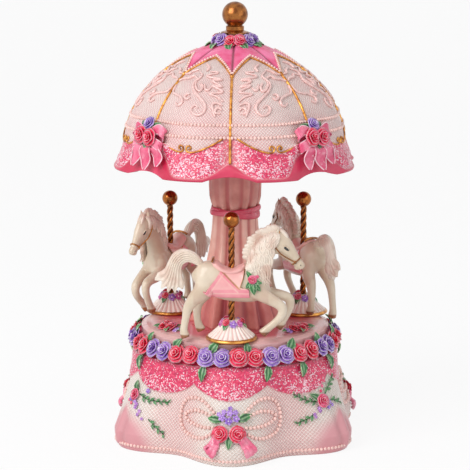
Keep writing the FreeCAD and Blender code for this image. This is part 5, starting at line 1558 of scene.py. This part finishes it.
horse = {
    "voxel": 0.5, "smoothing": 5,
    # each station: x, y, z, half width, half height
    "trunk": ((-16.2, 0, 32.8, 2.2, 3.0), (-14.6, 0, 31.6, 4.6, 5.4), (-10.6, 0, 29.4, 6.1, 7.4),
              (-4.0, 0, 25.9, 5.8, 7.3), (3.0, 0, 24.8, 5.8, 7.4), (9.0, 0, 25.3, 5.9, 7.9),
              (14.0, 0, 26.0, 4.9, 6.8), (17.2, 0, 26.2, 2.8, 4.2)),
    "neck": ((9.5, 0, 26.6, 4.6, 7.4), (11.8, 0, 33.4, 3.9, 5.7), (14.6, 0, 40.0, 3.2, 5.0),
             (18.0, 0, 44.8, 2.8, 4.2), (20.8, 0, 46.8, 2.3, 3.2)),
    "head": ((18.4, 0, 47.4, 2.3, 3.4), (21.6, 0, 45.2, 2.9, 4.7), (24.8, 0, 41.8, 2.6, 4.2),
             (27.6, 0, 38.6, 2.0, 3.0), (29.8, 0, 36.0, 1.8, 2.3), (31.4, 0, 34.2, 1.9, 2.1),
             (32.2, 0, 33.0, 1.1, 1.2)),
    "nearFore": ((10.5, -3.4, 24.0, 2.8, 4.2), (15.4, -4.0, 20.8, 2.6, 3.2), (20.4, -4.2, 18.0, 2.2, 2.5),
                 (23.0, -4.2, 15.8, 2.1, 2.3), (23.0, -4.2, 12.6, 1.8, 2.0), (20.6, -4.2, 9.4, 1.65, 1.8),
                 (17.4, -4.2, 6.6, 1.65, 1.8), (15.8, -4.2, 5.1, 1.9, 2.0), (14.0, -4.2, 3.4, 1.95, 2.2)),
    "farFore": ((11.0, 3.2, 23.4, 2.7, 4.2), (17.0, 3.8, 20.8, 2.5, 3.0), (23.0, 4.0, 19.6, 2.2, 2.4),
                (26.0, 4.0, 18.2, 2.1, 2.3), (26.6, 4.0, 15.2, 1.8, 2.0), (25.4, 4.0, 11.6, 1.65, 1.8),
                (23.4, 4.0, 7.9, 1.65, 1.8), (22.4, 4.0, 6.2, 1.9, 2.0), (20.8, 4.0, 4.5, 1.95, 2.2)),
    "nearHind": ((-11.4, -3.2, 28.2, 3.2, 4.7), (-12.9, -4.0, 23.4, 3.1, 4.3), (-16.9, -4.2, 19.2, 2.5, 3.1),
                 (-19.6, -4.2, 15.0, 2.0, 2.3), (-20.6, -4.2, 10.4, 1.7, 1.8), (-21.4, -4.2, 6.0, 1.65, 1.75),
                 (-21.4, -4.2, 3.8, 1.85, 2.0), (-20.6, -4.2, 1.4, 2.0, 2.2)),
    "farHind": ((-11.2, 3.2, 27.6, 3.2, 4.7), (-12.0, 4.0, 22.0, 3.0, 4.2), (-14.8, 4.2, 17.4, 2.4, 3.0),
                (-15.9, 4.2, 13.2, 1.9, 2.1), (-15.9, 4.2, 9.4, 1.65, 1.75), (-15.6, 4.2, 7.0, 1.65, 1.75),
                (-15.0, 4.2, 4.9, 1.85, 2.0), (-13.8, 4.2, 2.7, 2.0, 2.2)),
    # centre on the left side and half sizes of shoulder, haunch, cheek and nostril, then of the lip
    "bulges": ((12.6, 3.6, 25.6, 3.6, 2.6, 4.6), (-11.8, 3.4, 28.2, 4.2, 3.2, 5.2),
               (20.6, 2.0, 42.6, 2.6, 1.2, 2.6), (31.0, 1.3, 34.6, 1.0, 0.8, 0.9)),
    "lip": (30.0, 0, 33.2, 1.6, 1.2, 0.9),
    # centre line of the left ear, then shares of its length with the radius there
    "ear": ((20.4, 1.5, 48.4), (20.9, 1.9, 50.6), (21.5, 2.0, 52.8)),
    "earRadius": ((0, 0.35, 1), (0.9, 1.05, 0.22)),
    "hoofTop": {"nearFore": 4.6, "farFore": 5.9, "nearHind": 2.9, "farHind": 4.1}, "hoofReach": 5.5,
    "bellyZ": 26, "bellyLow": 17, "bellyLong": 17,
}
leftward = np.array([0, 1.0, 0])


def limbSkin(given, rows=44, sides=22):
    # a skin of elliptical rings through stations of place, half width and half height
    path = along(given, rows)
    ahead = np.gradient(path[:, :3], axis=0)
    ahead[:, 1] = 0
    up = np.cross(unit(ahead), leftward)
    ring = np.linspace(0, 2 * np.pi, sides, endpoint=False)
    skin = path[:, None, :3] + up[:, None] * (path[:, 4, None] * np.cos(ring))[..., None]
    skin[..., 1] += path[:, 3, None] * np.sin(ring)
    return skin.reshape(-1, 3), rodFaces(rows, sides)


def remeshed(clay, voxel, smoothing):
    # one closed skin over all the forms that were gathered
    mesh = bpy.data.meshes.new("skin")
    mesh.from_pydata(clay.points().tolist(), [], clay.faces)
    body = bpy.data.objects.new("skin", mesh)
    bpy.context.scene.collection.objects.link(body)
    grid = body.modifiers.new("skin", "REMESH")
    grid.mode = "VOXEL"
    grid.voxel_size = voxel
    ease = body.modifiers.new("ease", "SMOOTH")
    ease.factor = 0.5
    ease.iterations = smoothing
    solid = body.evaluated_get(bpy.context.evaluated_depsgraph_get()).to_mesh()
    verts = np.zeros(len(solid.vertices) * 3)
    solid.vertices.foreach_get("co", verts)
    faces = [tuple(face.vertices) for face in solid.polygons]
    bpy.data.objects.remove(body)
    bpy.data.meshes.remove(mesh)
    return verts.reshape(-1, 3), faces


def horseSkin():
    flesh = Clay()
    for key in ("trunk", "neck", "head", "nearFore", "farFore", "nearHind", "farHind"):
        flesh.add(*limbSkin(horse[key]))
    verts, faces = ball(10, 16)
    for *place, long, wide, high in horse["bulges"]:
        for hand in (-1, 1):
            flesh.add(verts * (long, wide, high) + np.array(place) * (1, hand, 1), faces)
    flesh.add(verts * horse["lip"][3:] + horse["lip"][:3], faces)
    for hand in (-1, 1):
        ear = along(np.array(horse["ear"]) * (1, hand, 1), 12)
        flesh.add(*tube(ear, np.interp(np.linspace(0, 1, len(ear)), *horse["earRadius"]), 10))
    return remeshed(flesh, horse["voxel"], horse["smoothing"])


def hairLock(clay, points, radius, flat, tip=0.15):
    path = along(points, 26)
    shares = np.linspace(0, 1, len(path))
    taper = np.interp(shares, [0, 0.18, 0.7, 0.92, 1], [0.55, 1.0, 0.95, 0.55 + 0.4 * tip, tip])
    clay.add(*tube(path, radius * taper, 10, flat, leftward), mane=1.0)


mane = {
    "crest": ((8.8, 36.2), (8.8, 40.4), (10.8, 44.8), (14.2, 47.8), (17.8, 49.6), (20.8, 50.2)),
    "ends": ((9.2, 31.6), (11.0, 28.8), (13.8, 26.6), (16.6, 26.0), (17.2, 31.0), (16.6, 38.4)),
    "locks": 12, "layers": ((1.0, 0.0, 1.7), (0.62, -0.3, 1.5)),  # share of the fall, way out, radius
    "strands": (-1.0, 0.0, 1.0), "strandRadius": 0.5, "tuftRadius": 1.6, "leftRadius": 1.5,
    "forelock": (-0.7, 0.1, 0.9), "forelockRadius": 0.95,
}


def addRightLock(clay, root, fall, side, sway, out, radius):
    # a waved lock that falls over the right side of the neck, with finer strands along it
    points = [root + (0.2, 0.3, 0.2), root + fall * 0.12 + side * 0.62]
    points.append(root + fall * 0.4 + side * 0.98 + sway * 0.9)
    points.append(root + fall * 0.7 + side * 1.06 - sway * 0.9 + leftward * out)
    points.append(root + fall + side + sway * 0.7 + leftward * out)
    hairLock(clay, points, radius * dice.uniform(0.9, 1.1), 0.5)
    across = unit(np.cross(fall, leftward))
    for shift in mane["strands"]:
        rise = 0.62 * 0.75 * radius * (1 - 0.45 * abs(shift))
        strand = np.array(points) + across * shift * 0.62 * radius
        strand[1:] -= leftward * rise
        hairLock(clay, strand, mane["strandRadius"], 0.8)


def addMane(clay):
    # broad locks start on the crest of the neck; most fall over its right side to the chest
    q = mane
    crest, ends = (along([(x, 0.0, z) for x, z in q[key]], q["locks"]) for key in ("crest", "ends"))
    for k, (root, end) in enumerate(zip(crest, ends)):
        wave = 1.0 if k % 2 else -1.0
        side = -leftward * (3.0 + 2.6 * (1 - k / (q["locks"] - 1)))
        for reach, out, radius in q["layers"]:
            addRightLock(clay, root, (end - root) * reach, side, np.array([wave, 0, 0.4 * wave]), out, radius)
        tuft = root + (-1.7 - dice.uniform(0, 1.0), 0.3, 1.2 + dice.uniform(0, 0.8))
        points = [root + (1.6, 0.2, -1.8), root + (0.2, 0.4, 0.6), tuft, tuft + (-1.0, -0.2, -0.7)]
        hairLock(clay, points, q["tuftRadius"], 0.75, tip=0.3)
        left = root + (-0.4 + 0.4 * wave, 3.0, -4.2)
        points = [root + (0.6, 0.4, 0.2), root + (0.4, 1.9, -0.9), root + (0.0, 2.9, -2.8)]
        hairLock(clay, points + [left, left + (0.6, 0.2, -2.4)], q["leftRadius"], 0.5)
    for y in q["forelock"]:
        points = [(20.2, y * 0.6, 50.6), (22.6, y, 50.4), (24.6, y * 1.3, 48.2), (25.6, y * 1.2, 46.0)]
        hairLock(clay, points, q["forelockRadius"], 0.7)


tail = {
    "outer": ((-12.8, 36.0), (-16.6, 40.2), (-21.6, 41.8), (-26.2, 40.0), (-28.8, 35.8), (-30.4, 32.6),
              (-33.4, 30.8), (-36.4, 29.8)),
    "middle": ((-12.8, 34.2), (-16.4, 37.4), (-20.6, 38.6), (-24.2, 37.0), (-26.2, 33.4), (-27.2, 29.4),
               (-28.0, 25.2), (-29.0, 21.2)),
    "inner": ((-13.2, 32.4), (-16.4, 34.4), (-19.4, 35.4), (-21.6, 34.6), (-22.6, 32.4), (-22.4, 29.4),
              (-21.6, 26.8), (-20.2, 24.6)),
    "rows": 60, "cols": 49, "thick": 2.1, "strands": 7, "scallops": 2.5, "bite": 0.09, "comb": 0.16,
}


def addTail(clay):
    # one broad plume that arches up from the rump and fans out to a scalloped end
    q = tail
    u = np.linspace(-1, 1, q["cols"])
    bite = q["bite"] * np.abs(np.sin(q["scallops"] * np.pi * u)) ** 1.5
    s = np.linspace(0, 1, q["rows"])[:, None] * (1 - bite)
    weights = {"outer": u * (u - 1) / 2, "middle": 1 - u * u, "inner": u * (u + 1) / 2}
    sheet = 0.0
    for key, weight in weights.items():
        edge = along([(x, 0.0, z) for x, z in q[key]], 200)
        sheet = sheet + placesAt(edge, np.linspace(0, 1, len(edge)), s) * weight[:, None]
    body = np.interp(s, [0, 0.5, 0.9, 1], [0.9, 1.0, 0.75, 0.2]) * q["thick"]
    body = body * np.sqrt(np.clip(1 - u * u, 0.0, 1))
    comb = 1 + q["comb"] * np.cos(q["strands"] * np.pi * (u + 0.12 * np.sin(7 * s)))
    puff = (body * comb)[..., None] * leftward
    clay.add(*slab(sheet - puff, sheet + puff), mane=1.0)


saddlery = {
    "seat": ((-8.7, 0, 36.4, 2.2, 1.1), (-7.2, 0, 34.9, 4.4, 1.8), (-3.8, 0, 32.5, 4.9, 1.6),
             (0.4, 0, 31.7, 4.9, 1.6), (4.0, 0, 32.7, 4.3, 1.8), (6.3, 0, 34.5, 2.4, 1.2)),
    "cantle": (-8.9, 4.2, 36.0), "cantleRadius": 0.55,  # x of the rail, half its width and its height
    "apex": (-4.4, 32.0), "backFoot": (-11.9, 22.4), "frontFoot": (3.6, 24.8), "band": 23.6,
    # centre and half sizes
    "haunches": ((-11.8, 3.4, 28.2, 4.6, 3.3, 5.6), (-13.0, 4.0, 23.4, 4.6, 3.2, 5.0)),
    # height and x of the blanket's back and front edges
    "back": ((20.8, -12.4), (22.4, -12.0), (32.0, -4.6), (34.5, -7.0)),
    "front": ((20.8, 8.5), (24.4, 8.2), (25.2, 4.3), (29.0, 5.6), (34.5, 6.6)),
    "top": 34.5, "bottom": 20.8, "rows": 56, "cols": 60, "lift": 0.75, "lining": 0.1,
}


def onTrunk(x, z, hand, lift):
    # places on the horse's side, over the haunches where they stand out
    trunk = along(horse["trunk"], 60)
    middle, wide, high = (np.interp(x, trunk[:, 0], trunk[:, i]) for i in (2, 3, 4))
    climb = np.clip((z - middle) / high, -0.96, 0.96)
    side = wide * np.sqrt(1 - climb * climb)
    for cx, cy, cz, long, deep, tall in saddlery["haunches"]:
        cap = 1 - ((x - cx) / long) ** 2 - ((z - cz) / tall) ** 2
        side = np.maximum(side, np.where(cap > 0, cy + deep * np.sqrt(np.maximum(cap, 0)), 0))
    return np.stack([x, hand * (side + lift), middle + (high + lift) * climb], -1)


def fromLine(a, b, x, z):
    # distance from the straight line through two places
    long, tall = b[0] - a[0], b[1] - a[1]
    return np.abs(long * (a[1] - z) - (a[0] - x) * tall) / math.hypot(long, tall)


def blanketMasks(x, z, across):
    # a three-cornered field with a border, stripes beside the border, a band below and gilt edges
    q = saddlery
    apex, foot, band = q["apex"], q["frontFoot"], q["band"]
    sides = [fromLine(apex, corner, x, z) for corner in (q["backFoot"], foot)]
    inside = (z < apex[1]) & (x < np.interp(z, [foot[1], apex[1]], [foot[0], apex[0]]))
    border = np.maximum.reduce([(1 - smooth(away, 1.1, 1.4)) * inside for away in sides])
    border = np.maximum(border, z < band + 0.9)
    stripe = np.maximum.reduce([(1 - smooth(np.abs(away - 1.5), 0.15, 0.35)) * inside for away in sides])
    stripe = np.maximum(stripe, 1 - smooth(np.abs(z - band + 0.9), 0.15, 0.35))
    gilt = (1 - smooth(sides[1], 0.2, 0.5)) * (z > foot[1] - 0.3)
    gilt = np.maximum(gilt, smooth(across, 0.965, 0.985) * (z > foot[1]))
    blanket = np.maximum(inside * 0.45, border) * (1 - 0.75 * stripe)
    return {"blanket": bothSides(blanket), "gilt": bothSides(gilt * 0.8)}


def addSaddle(clay):
    q = saddlery
    clay.add(*limbSkin(q["seat"], 30, 20), saddle=1.0)
    arc = polar(1.0, np.linspace(-75, 75, 16), 0.0)
    x, wide, high = q["cantle"]
    rail = np.stack([x + 0.8 * arc[:, 0], wide * arc[:, 1], high + 1.7 * arc[:, 0]], -1)
    clay.add(*tube(rail, q["cantleRadius"]), gilt=1.0)
    down, across = np.linspace(q["top"], q["bottom"], q["rows"]), np.linspace(0, 1, q["cols"])
    back, ahead = (np.interp(down, *np.array(q[key]).T)[:, None] for key in ("back", "front"))
    x = back + (ahead - back) * across
    z = np.broadcast_to(down[:, None], x.shape)
    for hand in (-1, 1):
        sheet = slab(onTrunk(x, z, hand, q["lift"]), onTrunk(x, z, hand, q["lining"]))
        clay.add(*sheet, saddle=1.0, **blanketMasks(x, z, across))


bridle = {
    # places on the left side of the head; straps: x, lift and lean
    "straps": ((29.4, 0.12, 0.0), (20.2, 0.25, -1.2)), "strapRadius": 0.36,
    "cheek": ((20.0, 3.2, 43.2), (22.4, 3.25, 40.4), (25.6, 2.75, 38.2), (28.8, 2.1, 36.4)),
    "stall": ((20.4, 2.7, 47.6), (20.2, 3.3, 45.4), (20.0, 3.2, 43.2)),
    "cheekRadius": 0.34, "stallRadius": 0.42, "ring": (28.9, 2.0, 36.3), "ringRadius": 0.75,
    "eye": (24.9, 2.55, 42.6), "eyeSize": (1.5, 0.45, 0.62), "eyeSlant": (0.79, 0.61),  # cosine and sine
    "lid": ((23.4, 2.75, 44.3), (24.8, 2.9, 43.8), (26.2, 2.5, 42.4)), "lidRadius": 0.28,
    "nostril": (31.4, 1.75, 34.9), "nostrilSize": (0.35, 0.2, 0.3),
}


def headStrap(x, lift, lean):
    # a strap round the head
    head = along(horse["head"], 60)
    i = np.argmin(np.abs(head[:, 0] - x))
    ahead = unit((head[i + 1] - head[i - 1])[:3])
    ring = np.radians(np.linspace(0, 360, 30))[:, None]
    wide, high = head[i, 3] + lift, head[i, 4] + lift
    up = np.cross(ahead, leftward) * high + ahead * lean
    return head[i, :3] + np.cos(ring) * up + np.sin(ring) * leftward * wide


def addBridle(clay):
    q = bridle
    for x, lift, lean in q["straps"]:
        clay.add(*tube(headStrap(x, lift, lean), q["strapRadius"], 7), gilt=1.0)
    verts, faces = ball(7, 10)
    c, s = q["eyeSlant"]
    eye = verts * q["eyeSize"] @ np.array([[c, 0, s], [0, 1, 0], [-s, 0, c]]).T
    for hand in (-1, 1):
        mirror = np.array([1, hand, 1])
        clay.add(*tube(along(q["cheek"] * mirror, 20), q["cheekRadius"], 7), gilt=1.0)
        clay.add(verts * q["ringRadius"] + q["ring"] * mirror, faces, gilt=1.0)
        clay.add(eye + q["eye"] * mirror, faces, dark=1.0)
        clay.add(*tube(along(q["stall"] * mirror, 16), q["stallRadius"], 7), gilt=1.0)
        clay.add(*tube(along(q["lid"] * mirror, 10), q["lidRadius"], 6))
        clay.add(verts * q["nostrilSize"] + q["nostril"] * mirror, faces, dark=0.8)


shoulderPosy = {
    "rose": (9.8, -6.5, 29.2, 1.7), "spin": 0.4,  # place and radius, and the turn of its petals
    # x and z of the stalk and tip of each leaf; x, z and radius of each bud
    "leaves": (((9.4, 28.4), (6.8, 25.0)), ((10.4, 28.4), (14.2, 27.4)), ((9.8, 28.0), (10.6, 22.0)),
               ((9.2, 30.0), (7.0, 33.0)), ((10.4, 27.6), (13.4, 23.8))),
    "buds": ((11.9, 30.4, 1.0), (8.4, 26.6, 0.9), (12.2, 25.2, 0.9)),
}


def addShoulderPosy(blooms, leaves):
    x, y, z, radius = shoulderPosy["rose"]
    plantRose(blooms, (x, y, z), -leftward, radius, pink=1.0, spin=shoulderPosy["spin"])
    for x, z, radius in shoulderPosy["buds"]:
        plantBlossom(blooms, (x, y + 0.1, z), -leftward, radius, violet=0.0, pink=1.0)
    for (x, z), (tipX, tipZ) in shoulderPosy["leaves"]:
        plantLeaf(leaves, (x, y + 0.3, z), (tipX, y - 0.1, tipZ), -leftward, 0.66)


def stationed(points, turn):
    # from a horse's own axes to its place on the turntable
    out, ahead = polar(1.0, turn, 0.0), polar(1.0, turn + 90, 0.0)
    return points @ np.stack([ahead, -out, upward]) + out * poleCircle + (0, 0, deckZ)


def horseMasks(verts):
    # hooves, and the shade under the belly
    h = horse
    z = verts[:, 2]
    hoof = np.zeros(len(verts))
    for key, level in h["hoofTop"].items():
        near = np.linalg.norm(verts - h[key][-1][:3], axis=1) < h["hoofReach"]
        hoof = np.maximum(hoof, near * (1 - smooth(z, level - 0.3, level + 0.3)))
    under = smooth(h["bellyZ"] - z, 0, 7) * (np.abs(verts[:, 0]) < h["bellyLong"]) * (z > h["bellyLow"])
    shade = np.clip(0.5 * under + 0.3 * smooth(grain(verts, 5.0), 0.1, 0.8), 0, 1)
    return {"hoof": hoof, "shade": shade}


def makeHorses():
    clay, blooms, leaves = Clay(), Clay(), Clay()
    verts, faces = horseSkin()
    clay.add(verts, faces, **horseMasks(verts))
    addMane(clay)
    addTail(clay)
    addSaddle(clay)
    addBridle(clay)
    addShoulderPosy(blooms, leaves)
    made = {"prancing_horse": (clay, "horse"), "shoulder_posy": (blooms, "petal"),
            "shoulder_leaves": (leaves, "leaf")}
    for label, (form, key) in made.items():
        drawn = form.points()
        for number, turn in enumerate(stations, 1):
            form.verts = [stationed(drawn, turn)]
            form.build(f"{label}_{number}", finish[key], "turntable", f"horse_{number}")
    print("horses:", len(stations))


makeHorses()


# finishes for the CAD nodes that stay in view

nodeFinish = {
    "deck": ("turntable_deck",),
    "polished": ("pole_ball_1", "pole_ball_2", "pole_ball_3"),
    "antique": ("finial",),
    "coverPlastic": ("bottom_cover",),
    "whitePlastic": ("governor_bracket", "governor_fly", "worm_wheel", "drive_hub", "drum_gear"),
    "brass": ("pinned_drum", "great_wheel", "drum_pinion", "train_pinion", "bearing_bush", "winding_key",
              "governor_worm"),
    "casting": ("movement_bedplate", "spring_barrel"),
    "steel": ("cover_screws", "movement_screws", "comb", "comb_screws", "thrust_washer", "winding_arbor",
              "mainspring", "drive_shaft", "drum_arbor", "train_arbor"),
}


def paintNodes():
    for key, names in nodeFinish.items():
        for name in names:
            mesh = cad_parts[name].data
            mesh.materials.clear()
            mesh.materials.append(finish[key])
    print("CAD nodes painted:", sum(len(names) for names in nodeFinish.values()))


paintNodes()
